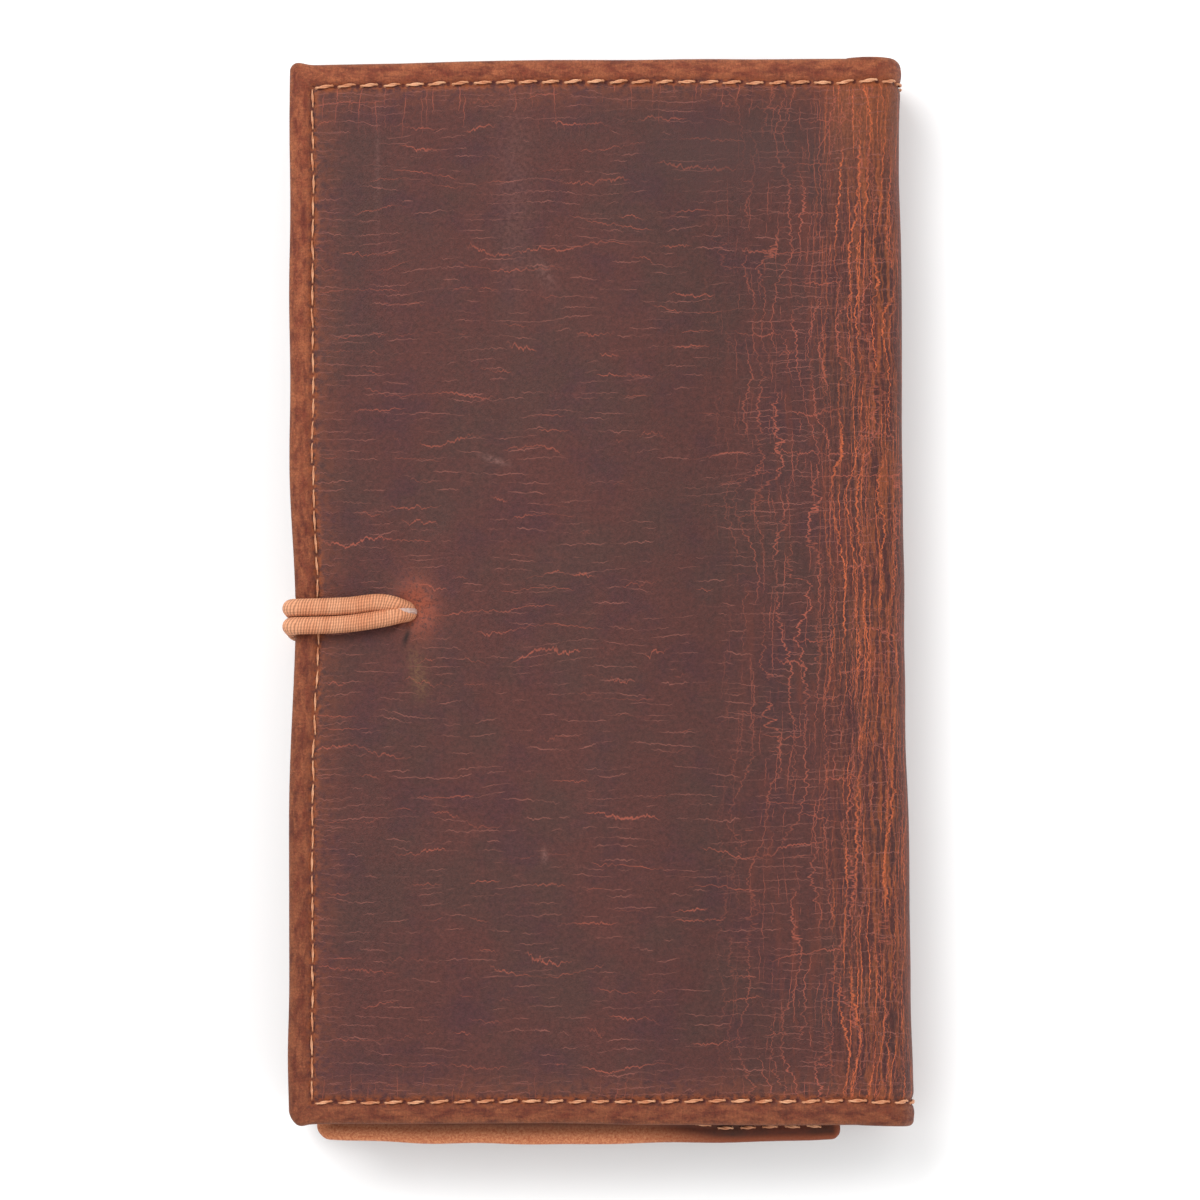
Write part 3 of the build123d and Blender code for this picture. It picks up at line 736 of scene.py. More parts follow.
    def surface(self):
        """Pores, cracks and wax: the height and the polish."""
        pores = self.cells(self.bent(self.sheet, 1.2, 0.5), 2.1)
        cracks = self.most(self.across_all, self.down_all, self.across_bold, self.down_bold)
        height = self.plus(
            self.times(self.step(pores, 0.0, 0.25), 0.22),
            self.times(self.speckle, 0.35),
            self.times(self.mottle, 0.45),
            self.times(self.fibres, self.crease, 1.1),
            self.times(self.fuzz, self.band, 1.2),
        )
        waxed = self.step(self.mottle, 0.2, 0.8, 0.5, 0.62)
        polish = self.plus(waxed, self.times(cracks, 0.12), self.times(self.band, 0.08))
        return self.finish(self.colour, polish, height, depth=0.15)

    def build(self):
        """Puts the sections together, in the order that they lie on each other."""
        self.ground()
        self.cracks_across()
        self.cracks_down()
        self.warmth()
        self.crack_colours()
        self.marks_of_use()
        self.ring_at_hole()
        self.edge_band()
        self.needle_hole_shade()
        return self.surface()


def plain_leather(name, base, worn):
    """Smooth matt leather for the inner layers."""
    look = Look(name, roughness=0.58, specular=0.25)
    sheet = look.mark("sheet")
    cloud = look.noise(sheet, 0.09, 4.0, 0.6)
    colour = look.mix(look.step(cloud, 0.35, 0.68), tint(base), tint(worn))
    mottle = look.noise(sheet, 1.6, 5.0, 0.65)
    colour = look.vary(colour, mottle, 0.25, 0.75, 0.86, 1.12)
    pores = look.cells(look.bent(sheet, 1.4, 0.5), 2.6)
    colour = look.vary(colour, pores, 0.0, 0.12, 0.9, 1.0)
    rim = look.split(look.mark("fringe"))[1]
    colour = look.toward(colour, "4d2e25", look.step(rim, 0.25, 0.8, 0.7, 0.0))
    height = look.plus(look.times(look.step(pores, 0.0, 0.2), 0.6), look.times(mottle, 0.5))
    return look.finish(colour, look.step(mottle, 0.2, 0.8, 0.5, 0.64), height, 0.12)


def edge_leather():
    """The leaf's leather: dark and smooth on its face, orange and fuzzy where it is turned, with painted light
    where that orange reaches onto the face.
    """
    look = Look("leaf_leather", roughness=0.62, specular=0.25)
    sheet = look.mark("sheet")
    edge = look.split(look.mark("fringe"))[1]
    x, _, low = look.split(sheet)
    cloud = look.noise(sheet, 0.1, 4.0, 0.6)
    colour = look.mix(look.step(cloud, 0.38, 0.64), tint("6d4238"), tint("5d4038"))
    mottle = look.noise(sheet, 1.5, 5.0, 0.7)
    colour = look.vary(colour, mottle, 0.25, 0.75, 0.8, 1.2)
    strands = look.grain(look.bent(sheet, 0.8, 0.8), (2.3, 2.3, 0.9), 5.0, 0.75)
    fuzzy = look.mix(look.step(strands, 0.32, 0.68), tint("bd694a"), tint("f2a578"))
    # Painted light: the orange of the turned edge reaches up to 4.6 mm onto the face towards the fore-edge end,
    # narrowing to 1.6 mm towards the hinge end. This lightens the strip that the cover shades. worn below holds
    # the real turned edge and this painted light together.
    wide = look.step(x, 8.0, 26.0, 4.6, 1.6)
    worn = look.most(look.fall(edge, 0.5, wide), look.fall(low, -0.7, -0.1))
    fuzzy = look.toward(fuzzy, "8a4c3a", look.step(x, 2.0, 26.0, 0.0, 0.9))
    colour = look.mix(worn, colour, fuzzy)
    height = look.plus(look.times(mottle, 0.5), look.times(strands, worn, 1.1))
    return look.finish(colour, look.step(mottle, 0.2, 0.8, 0.55, 0.7), height, 0.16)


def thread_look():
    look = Look("waxed_thread", roughness=0.55, specular=0.25)
    sheet = look.mark("sheet")
    dirt = look.noise(sheet, 0.35, 4.0, 0.6)
    fibre = look.grain(sheet, (6, 6, 6), 3.0, 0.7)
    colour = look.mix(look.step(dirt, 0.36, 0.66), tint("fabb93"), tint("da8e68"))
    colour = look.vary(colour, fibre, 0.25, 0.75, 0.72, 1.15)
    # Painted shade: the outer stitches darken where they dip below the leather's face into their needle holes.
    colour = look.toward(colour, "7c3f28", look.step(look.split(sheet)[2], -0.45, 0.0, 0.75, 0.0))
    return look.finish(colour, 0.55, fibre, 0.05)


RIB_PITCH = 0.5  # of the drawn ribs of the elastic's cover
ROUND_RIB = 0.46  # pitch of its ribs in the mesh


def elastic_look(strand_radius):
    """Woven cover: fine leaning ribs that lie unevenly, and picks along the cord."""
    look = Look("woven_elastic", roughness=0.75, specular=0.2)
    weave = look.mark("weave")
    run, turn, _ = look.split(weave)
    unevenness = look.times(look.grain(weave, (0.9, 0.5, 0.5), 2.0, 0.6), 5.0)
    lean = look.times(turn, 4 / strand_radius)
    rib = look.math("SINE", look.plus(look.times(run, 2 * pi / RIB_PITCH), lean, unevenness))
    pick = look.math("SINE", look.times(turn, 16 / strand_radius))
    fuzz = look.noise(weave, 4.0, 4.0, 0.7)
    tone = look.grain(weave, (0.22, 0.1, 0.1), 3.0, 0.6)
    colour = look.mix(look.step(tone, 0.35, 0.65), tint("e69a74"), tint("f6b28b"))
    # Painted shade and highlight: the ribs and picks are painted darker in their grooves and lighter on their
    # crowns, on top of their bump.
    colour = look.vary(colour, rib, -1.0, 0.6, 0.58, 1.09)
    colour = look.vary(colour, pick, -1.0, 1.0, 0.92, 1.05)
    colour = look.vary(colour, fuzz, 0.3, 0.7, 0.9, 1.08)
    height = look.plus(look.times(rib, 0.5), look.times(pick, 0.3), look.times(fuzz, 0.5))
    return look.finish(colour, 0.72, height, 0.07)


def rubber_look():
    look = Look("rubber_core", roughness=0.5, specular=0.4)
    weave = look.mark("weave")
    stripe = look.grain(weave, (0.8, 3.5, 1), 3.0, 0.6)
    colour = look.mix(look.step(stripe, 0.3, 0.7), tint("c49a8c"), tint("e8cdc2"))
    return look.finish(colour, 0.5, stripe, 0.06)


def board_look():
    look = Look("pressed_board", roughness=0.85, specular=0.2)
    spot = look.node("ShaderNodeTexCoord").outputs["Object"]
    fibre = look.grain(spot, (700, 2600, 700), 5.0, 0.7)
    fleck = look.grain(spot, (400, 400, 400), 4.0, 0.6)
    colour = look.mix(look.step(fibre, 0.3, 0.7), tint("8f8573"), tint("a59a86"))
    colour = look.vary(colour, fleck, 0.3, 0.7, 0.85, 1.08)
    return look.finish(colour, 0.85, fibre, 0.08)


def brass_look():
    look = Look("antique_brass", roughness=0.35, metallic=1.0)
    spot = look.node("ShaderNodeTexCoord").outputs["Object"]
    brushed = look.grain(spot, (900, 9000, 900), 4.0, 0.6)
    tarnish = look.grain(spot, (500, 500, 500), 4.0, 0.65)
    colour = look.mix(look.step(tarnish, 0.42, 0.68), tint("b8975c"), tint("6f5a38"))
    colour = look.vary(colour, brushed, 0.3, 0.7, 0.88, 1.1)
    return look.finish(colour, look.step(tarnish, 0.3, 0.7, 0.28, 0.52), brushed, 0.02)


LEATHER_LOOK = CoverLeather().build()
LINING_LOOK = plain_leather("lining_leather", "7f5342", "875a46")
POCKET_LOOK = plain_leather("pocket_leather", "764a3b", "7f503e")
LEAF_LOOK = edge_leather()
THREAD_LOOK = thread_look()
side_low, side_high = node_box("elastic_side")
ELASTIC_LOOK = elastic_look((side_high[0] - side_low[0]) / 2)
RUBBER_LOOK = rubber_look()
BOARD_LOOK = board_look()
BRASS_LOOK = brass_look()

# ---- camera, light and floor ----


def add_camera():
    """Looks nearly straight down on the back cover from a little below its bottom edge."""
    lean, roll, distance = radians(4.5), radians(-0.26), 900.0
    target = np.array([(fore_x + spine_high[0]) / 2 + 0.33, y_mid - 2.38, back_high[2]])
    back = np.array([0.0, -sin(lean), cos(lean)])
    level = np.array([1.0, 0.0, 0.0])
    up = np.cross(back, level)
    right = level * cos(roll) + up * sin(roll)
    up = np.cross(back, right)
    place_at = target + back * distance
    camera = bpy.data.objects.new("camera", bpy.data.cameras.new("camera"))
    camera.data.lens = 144.5
    camera.data.sensor_width = 36
    camera.data.clip_start = 0.05
    camera.data.clip_end = 20
    turned = Matrix((right, up, back)).transposed().to_4x4()
    turned.translation = Vector(place_at * MM)
    camera.matrix_world = turned
    bpy.context.scene.collection.objects.link(camera)
    bpy.context.scene.camera = camera


def add_light(name, position, size, power, colour=(1, 1, 1)):
    lamp = bpy.data.lights.new(name, "AREA")
    lamp.shape = "RECTANGLE"
    lamp.size, lamp.size_y = size
    lamp.energy = power
    lamp.color = colour
    holder = bpy.data.objects.new(name, lamp)
    holder.location = position
    aim = Vector((0, 0, 0.02)) - Vector(position)
    holder.rotation_euler = aim.to_track_quat("-Z", "Y").to_euler()
    bpy.context.scene.collection.objects.link(holder)


def add_stage():
    world = bpy.data.worlds.new("studio")
    world.use_nodes = True
    world.node_tree.nodes["Background"].inputs[0].default_value = (1, 1, 1, 1)
    world.node_tree.nodes["Background"].inputs[1].default_value = 0.8
    bpy.context.scene.world = world
    add_light("key", (-0.5, 0.55, 0.95), (0.8, 0.6), 10)
    add_light("fill", (0.75, -0.35, 0.8), (0.9, 0.7), 4)
    mesh = bpy.data.meshes.new("floor")
    ring = [(2.5 * cos(t), 2.5 * sin(t), 0) for t in np.linspace(0, 2 * pi, 48, endpoint=False)]
    mesh.from_pydata(ring, [], [tuple(range(48))])
    look = Look("floor", roughness=0.9, specular=0.1)
    mesh.materials.append(look.finish((0.94, 0.94, 0.94, 1.0)))
    floor = bpy.data.objects.new("floor", mesh)
    bpy.context.scene.collection.objects.link(floor)
    floor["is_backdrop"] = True
    bpy.context.scene.view_settings.view_transform = "Standard"
    bpy.context.scene.view_settings.look = "None"
    bpy.context.scene.view_settings.exposure = 0.0
    return floor


add_camera()
floor = add_stage()

# ---- outer leather, lining and stitches, in four stretches that each cross one fold ----

# (distance from the edge, step): the steps grow away from the edge, and the last one is the open step
EDGE_STEPS = [(0.0, 0.1), (0.2, 0.15), (0.5, 0.22), (1.16, 0.34), (6.6, 0.9)]
OPEN_STEP = EDGE_STEPS[-1][1]


def from_edge(low, growth, open_step=None):
    """Stops that grow from a low edge."""
    last = growth[-1][1] if open_step is None else open_step
    return [(low + away, step) for away, step in growth[:-1]] + [(low + growth[-1][0], last)]


def to_edge(high, growth):
    """The same stops mirrored, up to a high edge."""
    mirrored_steps = [step for _, step in growth[-2::-1]] + [1.0]
    return [(high - away, step) for (away, _), step in zip(growth[::-1], mirrored_steps)]


def y_lines(inset=0.0, open_step=OPEN_STEP):
    """Grid lines from the bottom edge to the top, fine by the stitches and the elastic."""
    near = from_edge(y_low + inset, EDGE_STEPS, open_step)
    far = to_edge(y_high - inset, EDGE_STEPS)
    return steps(*near, (hole_y - 8, 0.45), (hole_y + 6, open_step), *far)


def back_lines(inset=0.0, open_step=OPEN_STEP):
    """Grid lines from the back cover's fore-edge to the first border on the spine."""
    near = from_edge(first_a + inset, EDGE_STEPS, open_step)
    about_hole = [(hole_a - 7, 0.45), (hole_a + 7, open_step)]
    return steps(*near, *about_hole, (0.0, 0.55), (borders[0] - 0.4, 0.1), (borders[0], 0.1))


def front_lines(inset=0.0, open_step=OPEN_STEP):
    """Grid lines from the last border on the spine to the front cover's fore-edge."""
    far = to_edge(last_a - inset, EDGE_STEPS)
    return steps((borders[2], 0.1), (borders[2] + 0.4, 0.55), (bend_run, open_step), *far)


def spine_lines(start, end):
    return steps((start, 0.1), (start + 0.4, 0.5), (end - 0.4, 0.1), (end, 0.1))


def upper_spine_lines(*_):
    return spine_lines(borders[0], borders[1])


def lower_spine_lines(*_):
    return spine_lines(borders[1], borders[2])


def metres(x, y, z):
    return tuple(MM * v for v in (x, y, z))


def bend_point(angle):
    """A point on the bend at an angle, in metres."""
    return metres(bend_x + radius * cos(angle), y_mid, radius + radius * sin(angle))


def fold_span(number):
    """Where the sheet starts and stops bending at a fold."""
    middle = fold_angles[number]
    half = (fold_angles[0] - fold_angles[1]) * 0.43
    return bend_point(middle + half), bend_point(middle - half)


stretches = [
    ("back", back_lines, ("back_cover", "spine_back"), ("last",)),
    ("spine_upper", upper_spine_lines, ("spine_back", "spine_middle"), ("first", "last")),
    ("spine_lower", lower_spine_lines, ("spine_middle", "spine_front"), ("first", "last")),
    ("front", front_lines, ("spine_front", "front_cover"), ("first",)),
]
leather_nodes = [
    ("back_cover_leather",),
    ("spine_leather_back",),
    ("spine_leather_middle",),
    ("spine_leather_front", "front_cover_leather"),
]
lining_nodes = [
    ("back_cover_lining",),
    ("spine_lining_back",),
    ("spine_lining_middle",),
    ("spine_lining_front", "front_cover_lining"),
]
thread_nodes = [
    ("back_seam_thread",),
    ("spine_thread_back",),
    ("spine_thread_middle",),
    ("spine_thread_front", "front_seam_thread"),
]


def sleeve_reach(a):
    """1 where an inner panel lies over the lining, seen from inside."""
    return np.where((fore_gap(a) > 2.0) & (fore_gap(a) < 64.0), 1.0, 0.0)


def cover_stitches(low_a, high_a):
    """All stitches of one stretch, outside and inside."""
    rows = []
    count = int(round((last_a - first_a - 2 * SEAM) / STITCH))
    pitch = (last_a - first_a - 2 * SEAM) / count
    for k in range(count):
        a = first_a + SEAM + pitch * (k + 0.5)
        if low_a <= a < high_a:
            for end, y in (("bottom", y_low + SEAM), ("top", y_high - SEAM)):
                sag = 0.12 * float(drift(np.array(a), np.array(0.0), 30, 33 + (end == "top")))
                rows.append((a, y + sag))
    parts = []
    outside = [(a, y, False, -0.2) for a, y in rows]
    inside = [(a, y, False, INSIDE - float(sleeve_reach(a))) for a, y in rows]
    if outside:
        parts.append(sew(outside, 3.75, 0.3, slant=0.13))
        parts.append(sew(inside, 3.4, 0.3, side=-1, rings=9))
    for fore, sign in ((first_a, 1), (last_a, -1)):
        if low_a <= fore + sign <= high_a:
            a = fore + sign * SEAM
            ys = [y_low + SEAM + STITCH * (k + 0.5) for k in range(STITCHES)]
            parts.append(sew([(a, y, True, -0.24) for y in ys], 4.2, 0.2, ply=0.12, slant=0.02))
            parts.append(sew([(a, y, True, -4.0) for y in ys], 3.4, 0.3, side=-1, rings=9))
    return joined(*parts)


for number, (name, lines, bodies, cuts) in enumerate(stretches):
    start, end = fold_span(number)
    a_lines = lines()
    outer = leather_piece(f"leather_{name}", a_lines, y_lines(), LEATHER_LOOK, cuts)
    inner_a, inner_y = lines(LINING_INSET, LINING_STEP), y_lines(LINING_INSET, LINING_STEP)
    inner = lining_piece(f"lining_{name}", inner_a, inner_y, LINING_LOOK, cuts)
    low_a = -1e9 if name == "back" else a_lines[0]
    high_a = 1e9 if name == "front" else a_lines[-1]
    sheet_points, faces = cover_stitches(low_a, high_a)
    sa, sy, sh = sheet_points.T
    thread_marks = np.where(sh[:, None] < -1, sheet_points * [1, 1, 0], sheet_points)
    thread = make(f"stitches_{name}", place(sa, sy, sh), faces, THREAD_LOOK, {"sheet": thread_marks})
    for piece, nodes, slot in (
        (outer, leather_nodes[number], "outer_leather"),
        (inner, lining_nodes[number], "lining_leather"),
        (thread, thread_nodes[number], "seam_thread"),
    ):
        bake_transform(piece)
        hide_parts(*nodes)

# ---- sleeves inside both covers ----


PANEL = 62.0  # width of the inner panels
NOTCH = 9.0  # radius of their thumb notches


def sleeve_panel(name, fore, sign, body, node):
    """A thin panel with a thumb notch in its open edge."""
    by_notch = steps((y_mid - 10, 0.25), (y_mid - 7, 0.8), (y_mid + 7, 0.25), (y_mid + 10, 1.0))
    y_rows = np.unique(np.concatenate([y_lines(2.0, 2.2), by_notch]))
    growth = [(0.0, 0.12), (0.5, 0.5), (6.0, 2.0)]
    u_rows = steps(*from_edge(0.0, growth), *to_edge(PANEL, growth))
    u, y = np.meshgrid(u_rows, y_rows, indexing="ij")
    bite = NOTCH * np.sqrt(np.clip(1 - ((y - y_mid) / NOTCH) ** 2, 0, 1))
    depth = u * (PANEL - bite) / PANEL
    a = fore + sign * (2.0 + depth)
    gap = np.minimum(np.minimum(depth, PANEL - bite - depth), np.minimum(y - y_low - 2, y_high - 2 - y))
    swell = 0.14 * drift(a, y, 24, 40 + sign) * smooth(gap, 2, 9)
    face = -4.0 + rounding(gap, 0.35) + swell + 0.1 * bell(gap - 2.4, 0.6)
    a_plain = np.where(fore_gap(a) < 0, fore, a)
    top = place(a_plain, y, -3.05 + 0 * a)
    bottom = place(a_plain, y, face)
    marks = pair_marks(a, y, -3.05 + 0 * a, face)
    rim = np.stack([y, gap, 0 * gap], -1)
    marks["fringe"] = (rim, rim)
    if sign < 0:
        top, bottom = top[::-1], bottom[::-1]
        marks = {k: (v[0][::-1], v[1][::-1]) for k, v in marks.items()}
    piece = slab(name, top, bottom, POCKET_LOOK, marks)
    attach(piece, body)
    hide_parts(node)


sleeve_panel("pocket_panel_back", first_a, 1, "back_cover", "slip_pocket")
sleeve_panel("pocket_panel_front", last_a, -1, "front_cover", "notebook_sleeve")

# ---- inner leaf ----

leaf_low, leaf_high = node_box("leaf_upper_leather")
leaf_lower_low = node_box("leaf_lower_leather")[0]
leaf_mid_x = (leaf_low[0] + leaf_high[0]) / 2


def leaf_gap(x, y):
    sides = np.minimum(x - leaf_low[0], leaf_high[0] - x)
    return np.minimum(sides, np.minimum(y - leaf_low[1], leaf_high[1] - y))


LEAF_SEAM = 2.9  # its stitch line's distance from the edge
LEAF_CORNER = 2.5  # radius of the leaf's corners at the fore-edge
HINGE_CORNER = 1.2  # and by its hinge


def leaf_place(x, y, z):
    """Points of the leaf, with its rounded corners and its bowed bottom edge."""
    end = np.minimum(y - leaf_low[1], leaf_high[1] - y)
    p = np.clip(1 - (x - leaf_low[0]) / LEAF_CORNER, 0, None)
    q = np.clip(1 - end / LEAF_CORNER, 0, None)
    far = np.clip(1 - (leaf_high[0] - x) / HINGE_CORNER, 0, None)
    near = np.clip(1 - end / HINGE_CORNER, 0, None)
    fore_size, hinge_size = LEAF_CORNER * corner_pull(p, q), HINGE_CORNER * corner_pull(far, near)
    upward = np.where(y > (leaf_low[1] + leaf_high[1]) / 2, -1, 1)
    bow = (np.abs(x - leaf_mid_x - 4) / 50) ** 2.6 * bell(y - leaf_low[1], 9)
    ripple = 0.14 * drift(x, y * 0, 9, 51) * bell(y - leaf_low[1], 5)
    last = smooth(x, leaf_high[0] - 12, leaf_high[0])
    shift = fore_size * p - hinge_size * far - last * (0.7 - 0.4 * bell(end - 2, 1.5))
    return np.stack([x + shift, y + upward * (fore_size * q + hinge_size * near) + bow + ripple, z], -1)


def leaf_marks(x, y, h):
    beside = (x - leaf_low[0]) < np.minimum(y - leaf_low[1], leaf_high[1] - y)
    return {
        "sheet": np.stack([x, y, h], -1),
        "fringe": np.stack([np.where(beside, y, x), leaf_gap(x, y), beside * 1.0], -1),
    }


def leaf_skin(name, node, top_z, bottom_z, lift):
    """One of the leaf's two leathers. lift is 1 for the upper one, whose upper edge is rounded."""
    growth = [(0.0, 0.1), (0.3, 0.2), (0.9, 0.35), (5.4, 1.8)]
    by_hinge = [(leaf_high[0] - 5.4, 0.35), (leaf_high[0] - 0.9, 0.2), (leaf_high[0], 1.0)]
    x_rows = steps(*from_edge(leaf_low[0], growth), *by_hinge)
    y_rows = steps(*from_edge(leaf_low[1], growth), *to_edge(leaf_high[1], growth))
    x, y = np.meshgrid(x_rows, y_rows, indexing="ij")
    gap = leaf_gap(x, y)
    wave = 0.1 * drift(x, y, 14, 52) * smooth(gap, 1, 8) - 0.2 * bell(gap - LEAF_SEAM, 0.6)
    wave += 0.07 * drift(x, y, 2.2, 53) * bell(gap, 2.5)
    if lift > 0:
        top = top_z + wave * (gap > 0.5) - rounding(gap, 0.85)
        bottom = bottom_z + 0.02 + 0 * x
        shown, hidden = top - top_z, bottom - top_z
    else:
        top = top_z - 0.02 + 0 * x
        bottom = bottom_z - wave * (gap > 0.5) + rounding(gap, 0.75)
        shown, hidden = bottom_z - bottom, bottom_z - top
    first, second = (shown, hidden) if lift > 0 else (hidden, shown)
    upper, lower = leaf_marks(x, y, first), leaf_marks(x, y, second)
    marks = {k: (upper[k], lower[k]) for k in upper}
    piece = slab(name, leaf_place(x, y, top), leaf_place(x, y, bottom), LEAF_LOOK, marks)
    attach(piece, "inner_leaf")
    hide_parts(node)


leaf_joint = (leaf_high[2] + leaf_lower_low[2]) / 2
leaf_skin("leaf_leather_upper", "leaf_upper_leather", leaf_high[2], leaf_joint, 1)
leaf_skin("leaf_leather_lower", "leaf_lower_leather", leaf_joint, leaf_lower_low[2], -1)


def leaf_stitches():
    left, right = leaf_low[0] + LEAF_SEAM, leaf_high[0] - LEAF_SEAM
    low, high = leaf_low[1] + LEAF_SEAM, leaf_high[1] - LEAF_SEAM
    spots = []
    count = round((right - left) / STITCH)
    for k in range(count):
        x = left + (right - left) * (k + 0.5) / count
        spots += [(x, low + 1.7 - 1.9 * float(smooth(x, 12, 26)), False), (x, high, False)]
    count = round((high - low) / STITCH)
    for k in range(count):
        y = low + (high - low) * (k + 0.5) / count
        spots += [(left, y, True), (right, y, True)]
    upper = sew([(x, y, t, leaf_high[2] - 0.12) for x, y, t in spots], 3.4, 0.3, rings=11)
    lower = sew([(x, y, t, leaf_lower_low[2] + 0.12) for x, y, t in spots], 3.4, 0.3, side=-1, rings=9)
    points, faces = joined(upper, lower)
    marks = points.copy()
    marks[:, 2] = 0
    piece = make("leaf_stitches", leaf_place(*points.T), faces, THREAD_LOOK, {"sheet": marks})
    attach(piece, "inner_leaf")
    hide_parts("leaf_seam_thread")


leaf_stitches()


def card_pocket(name, node):
    """A patch pocket with a shallow scoop in its open edge."""
    low, high = node_box(node)
    growth = [(0.0, 0.15), (0.6, 0.9), (4.5, 1.8)]
    x_rows, y_rows = (steps(*from_edge(low[i], growth), *to_edge(high[i], growth)) for i in (0, 1))
    x, y = np.meshgrid(x_rows, y_rows, indexing="ij")
    scoop = 7.0 * bell(y - (low[1] + high[1]) / 2, 9)
    share = (x - low[0]) / (high[0] - low[0])
    x_real = x - scoop * share**3
    gap = np.minimum(np.minimum(x - low[0], high[0] - x), np.minimum(y - low[1], high[1] - y))
    swell = 0.16 * smooth(gap, 3, 12) + 0.06 * drift(x, y, 15, 61)
    crease = -0.1 * bell(gap - 2.0, 0.5)
    top = high[2] - rounding(gap, 0.4) + (swell + crease) * smooth(gap, 0.4, 1.5)
    bottom = low[2] + 0.02 + 0 * x
    upper, lower = leaf_marks(x_real, y, top - high[2]), leaf_marks(x_real, y, bottom - high[2])
    rim = np.stack([y, gap, 0 * gap], -1)
    marks = {"sheet": (upper["sheet"], lower["sheet"]), "fringe": (rim, rim)}
    upper_points, lower_points = np.stack([x_real, y, top], -1), np.stack([x_real, y, bottom], -1)
    piece = slab(name, upper_points, lower_points, POCKET_LOOK, marks)
    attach(piece, "inner_leaf")
    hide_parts(node)


card_pocket("card_panel_upper", "card_pocket_upper")
card_pocket("card_panel_lower", "card_pocket_lower")


HINGE = 0.6  # thickness of the hinge's leather
HINGE_STEP = 0.35


def hinge_leather():
    """The strip of leather that hangs the leaf from the spine, bending where the leaf turns."""
    strip_low, strip_high = node_box("leaf_hinge_strip")
    flange_low, flange_high = node_box("leaf_hinge_flange")
    pivot = joint_point("leaf_turn")
    line = np.array(
        [
            (strip_low[0], strip_high[2] - HINGE / 2),
            (leaf_high[0] + 0.5, strip_high[2] - HINGE / 2),
            (leaf_high[0] + 3.0, strip_high[2] - 1.2),
            (pivot[0] - 1.6, pivot[2] + 0.6),
            (pivot[0] - 0.1, pivot[2] - 0.1),
            (flange_low[0] + 0.35, flange_low[2] + 0.5),
            ((flange_low[0] + flange_high[0]) / 2, (flange_low[2] + flange_high[2]) / 2 + 0.3),
        ]
    )
    path = flow(np.stack([line[:, 0], 0 * line[:, 0], line[:, 1]], -1), HINGE_STEP)[:, [0, 2]]
    run = np.gradient(path, axis=0)
    run /= np.linalg.norm(run, axis=1)[:, None]
    normal = np.stack([-run[:, 1], run[:, 0]], -1)
    growth = [(0.0, 0.3), (0.6, 3.0)]
    y_rows = steps(*from_edge(strip_low[1], growth), *to_edge(strip_high[1], growth))
    grid = np.stack(np.meshgrid(np.arange(len(path)), y_rows, indexing="ij"), -1)
    index = grid[..., 0].astype(int)
    ripple = 0.04 * drift(index * HINGE_STEP, grid[..., 1], 12, 71)

    def layer(out):
        points = path[index] + normal[index] * (out + ripple)[..., None]
        return np.stack([points[..., 0], grid[..., 1], points[..., 1]], -1)

    coords = np.stack([index * HINGE_STEP, grid[..., 1], 0 * ripple], -1)
    rim = coords * 0 + [0, HINGE * 9, 0]
    marks = {"sheet": (coords, coords), "fringe": (rim, rim)}
    return slab("leaf_hinge_leather", layer(HINGE / 2 - 0.02), layer(-HINGE / 2), POCKET_LOOK, marks)


def flow(points, spacing):
    """A smooth line through points, at even spacing."""
    points = np.asarray(points, float)
    gaps = np.linalg.norm(np.diff(points, axis=0), axis=1)
    slopes = np.diff(points, axis=0) / gaps[:, None]
    inner = (slopes[:-1] * gaps[1:, None] + slopes[1:] * gaps[:-1, None]) / (gaps[:-1] + gaps[1:])[:, None]
    slope = np.concatenate([slopes[:1], inner, slopes[-1:]])
    fine = []
    for p, q, m, n, gap in zip(points, points[1:], slope, slope[1:], gaps):
        t = np.linspace(0, 1, 24, endpoint=False)[:, None]
        between = p * (1 + 2 * t) * (1 - t) ** 2 + q * t * t * (3 - 2 * t)
        fine.append(between + gap * (m * t * (1 - t) ** 2 - n * t * t * (1 - t)))
    fine = np.concatenate(fine + [points[-1:]])
    length = np.concatenate([[0], np.cumsum(np.linalg.norm(np.diff(fine, axis=0), axis=1))])
    even = np.linspace(0, length[-1], max(2, int(round(length[-1] / spacing)) + 1))
    return np.stack([np.interp(even, length, fine[:, i]) for i in range(fine.shape[1])], -1)


hinge = hinge_leather()
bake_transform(hinge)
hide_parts("leaf_hinge_strip", "leaf_hinge_flange")

# ---- closure elastic ----

strand = (side_high[0] - side_low[0]) / 2
side_x = (side_high[0] + side_low[0]) / 2 + 0.7
pair_y = (side_high[1] + side_low[1]) / 2 + 0.25
apart = (side_high[1] - side_low[1]) / 2 - strand
top_z = back_high[2] + 0.02 + strand
split_z = (side_low[2] + side_high[2]) / 2
turn_size = 2.2


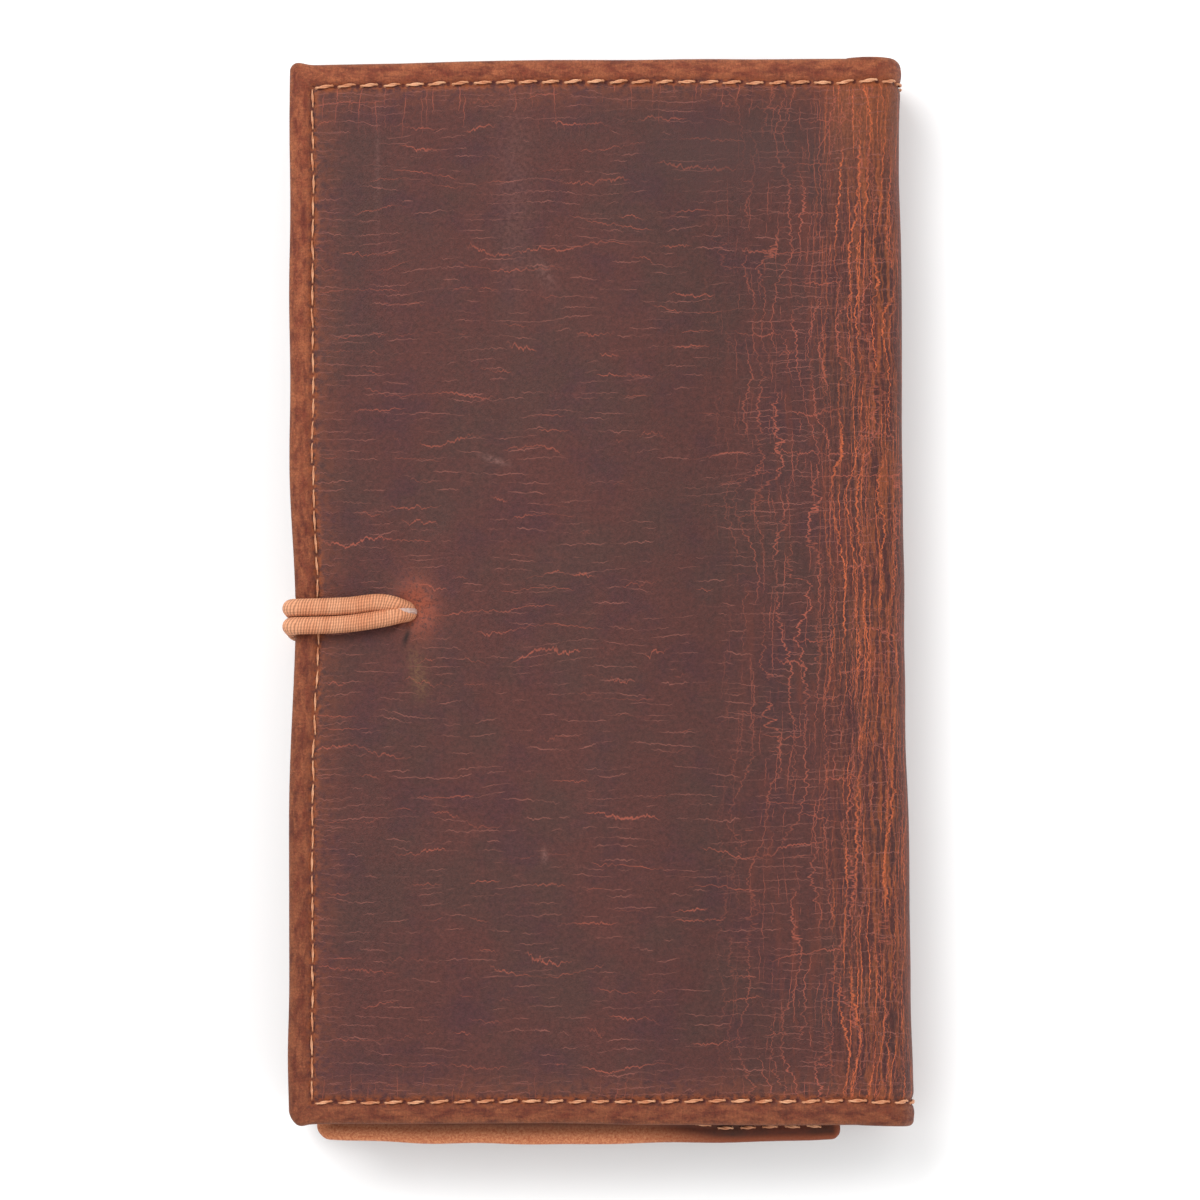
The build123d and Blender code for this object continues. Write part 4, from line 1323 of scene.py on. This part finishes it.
def tube(name, path, thickness, material, sides=20, rib=ROUND_RIB, proud=0.02, squeeze=None):
    """A round cord along a line, with fine ribs round it."""
    path = np.asarray(path, float)
    run = np.gradient(path, axis=0)
    run /= np.linalg.norm(run, axis=1)[:, None]
    step_lengths = np.linalg.norm(np.diff(path, axis=0), axis=1)
    length = np.concatenate([[0], np.cumsum(step_lengths)])
    side = np.cross(run[0], (0.0, 0.0, 1.0) if abs(run[0][2]) < 0.9 else (0.0, 1.0, 0.0))
    side /= np.linalg.norm(side)
    sides_list = [side]
    for direction in run[1:]:
        side = sides_list[-1] - direction * np.dot(sides_list[-1], direction)
        sides_list.append(side / np.linalg.norm(side))
    across = np.array(sides_list)
    up = np.cross(run, across)
    psi = np.linspace(0, 2 * pi, sides, endpoint=False)
    size = np.full(len(path), thickness) if squeeze is None else thickness * squeeze(length / length[-1])
    size = size + proud * np.cos(length * 2 * pi / rib)
    ring = np.cos(psi)[None, :, None] * across[:, None] + np.sin(psi)[None, :, None] * up[:, None]
    points = (path[:, None] + size[:, None, None] * ring).reshape(-1, 3)
    rings = len(path)
    along = np.broadcast_to(length[:, None], (rings, sides))
    around = np.broadcast_to(psi * thickness, (rings, sides))
    marks = np.stack([along, around, np.zeros((rings, sides))], -1)
    ring_edges = [(k, (k + 1) % sides) for k in range(sides)]
    last = (rings - 1) * sides
    ring_edges += [(last + k, last + (k + 1) % sides) for k in range(sides)]
    return make(name, points, ring_faces(rings, sides), material, {"weave": marks.reshape(-1, 3)}, ring_edges)


hole_x = hole_a + bend_x
upper_strand = [
    (hole_x - 0.5, hole_y + 0.3, back_high[2] - 1.6),
    (hole_x - 1.1, hole_y + 0.42, back_high[2] - 0.25),
    (hole_x - 2.6, hole_y + 0.8, top_z - 0.75),
    (hole_x - 5.4, hole_y + 1.25, top_z - 0.18),
    (hole_x - 11.7, hole_y + 0.72, top_z),
]
lower_strand = [
    (hole_x - 0.3, hole_y - 0.6, back_high[2] - 1.6),
    (hole_x - 0.9, hole_y - 0.75, back_high[2] - 0.1),
    (hole_x - 2.4, hole_y - 1.05, top_z - 0.5),
    (hole_x - 5.0, hole_y - 1.6, top_z),
    (hole_x - 11.7, hole_y - 2.6, top_z + 0.02),
]


def strand_line(start, y_end, down_to):
    """From the hole, over the fore-edge and down beside it."""
    centre_x, centre_z = side_x + turn_size, top_z - turn_size
    over = []
    for v in np.linspace(0.15, pi / 2, 7):
        over.append((centre_x - turn_size * sin(v), y_end, centre_z + turn_size * cos(v)))
    down = [(side_x, y_end, centre_z - 2), (side_x, y_end, down_to)]
    return flow(start + over + down, ROUND_RIB / 4)


def thin_at_hole(low):
    return lambda t: low + (1 - low) * smooth(t, 0.02, 0.2)


for name, start, y_end, low in (
    ("elastic_strand_upper", upper_strand, pair_y + apart, 0.8),
    ("elastic_strand_lower", lower_strand, pair_y - apart, 0.88),
):
    piece = tube(name, strand_line(start, y_end, split_z), strand, ELASTIC_LOOK, squeeze=thin_at_hole(low))
    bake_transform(piece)
    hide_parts("elastic_back_run")


def loop_line():
    """Down the side, round under the fore-edge, along the front cover, round the stud and back."""
    reach = strand + 0.05
    foot_x = side_x + turn_size

    def under(x):
        """Height of the loop's middle under the front cover."""
        return front_start[1] + (front_start[0] - x) * tan(tilt) - reach / cos(tilt)

    base = under(foot_x - turn_size * sin(tilt)) + turn_size * cos(tilt)
    neck = 1.6 + strand + 0.05
    line = [(side_x, pair_y + apart, split_z), (side_x, pair_y + apart, base + 3)]
    for v in np.linspace(0, pi / 2 - tilt, 6):
        line.append((foot_x - turn_size * cos(v), pair_y + apart, base - turn_size * sin(v)))
    line.append((foot_x + 4, pair_y + apart + 0.4, under(foot_x + 4)))
    line.append((stud_x - 3.5, pair_y + neck - 0.25, under(stud_x - 3.5)))
    for v in np.radians([70, 35, 0]):
        x = stud_x + neck * cos(v)
        line.append((x, pair_y + neck * sin(v), under(x)))
    mirrored = [(x, 2 * pair_y - y, z) for x, y, z in line[:-1]][::-1]
    return flow(line + mirrored, ROUND_RIB / 4)


loop = tube("elastic_loop_strand", loop_line(), strand, ELASTIC_LOOK)
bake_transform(loop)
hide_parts("elastic_side", "elastic_front_loop")

core_line = flow(
    [
        (hole_x + 0.35, hole_y - 0.35, back_high[2] - 1.2),
        (hole_x - 0.1, hole_y - 0.35, back_high[2] + 0.3),
        (hole_x - 1.1, hole_y - 0.3, back_high[2] + 1.45),
        (hole_x - 3.2, hole_y - 0.2, back_high[2] + 1.95),
    ],
    0.12,
)
core = tube("elastic_core", core_line, 0.8, RUBBER_LOOK, rib=0.9, proud=0.03, squeeze=lambda t: 1 - 0.4 * t)
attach(core, "back_cover")

# ---- CAD nodes that keep their shape ----

for material, nodes in (
    (BOARD_LOOK, ("front_cover_board", "back_cover_board", "leaf_core_board", "elastic_anchor_patch")),
    (BRASS_LOOK, ("stud_button", "stud_washer")),
):
    for node in nodes:
        frame["nodes"][node].data.materials.clear()
        frame["nodes"][node].data.materials.append(material)

floor.location.z = min(0.0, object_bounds()[0].z) - 0.00005
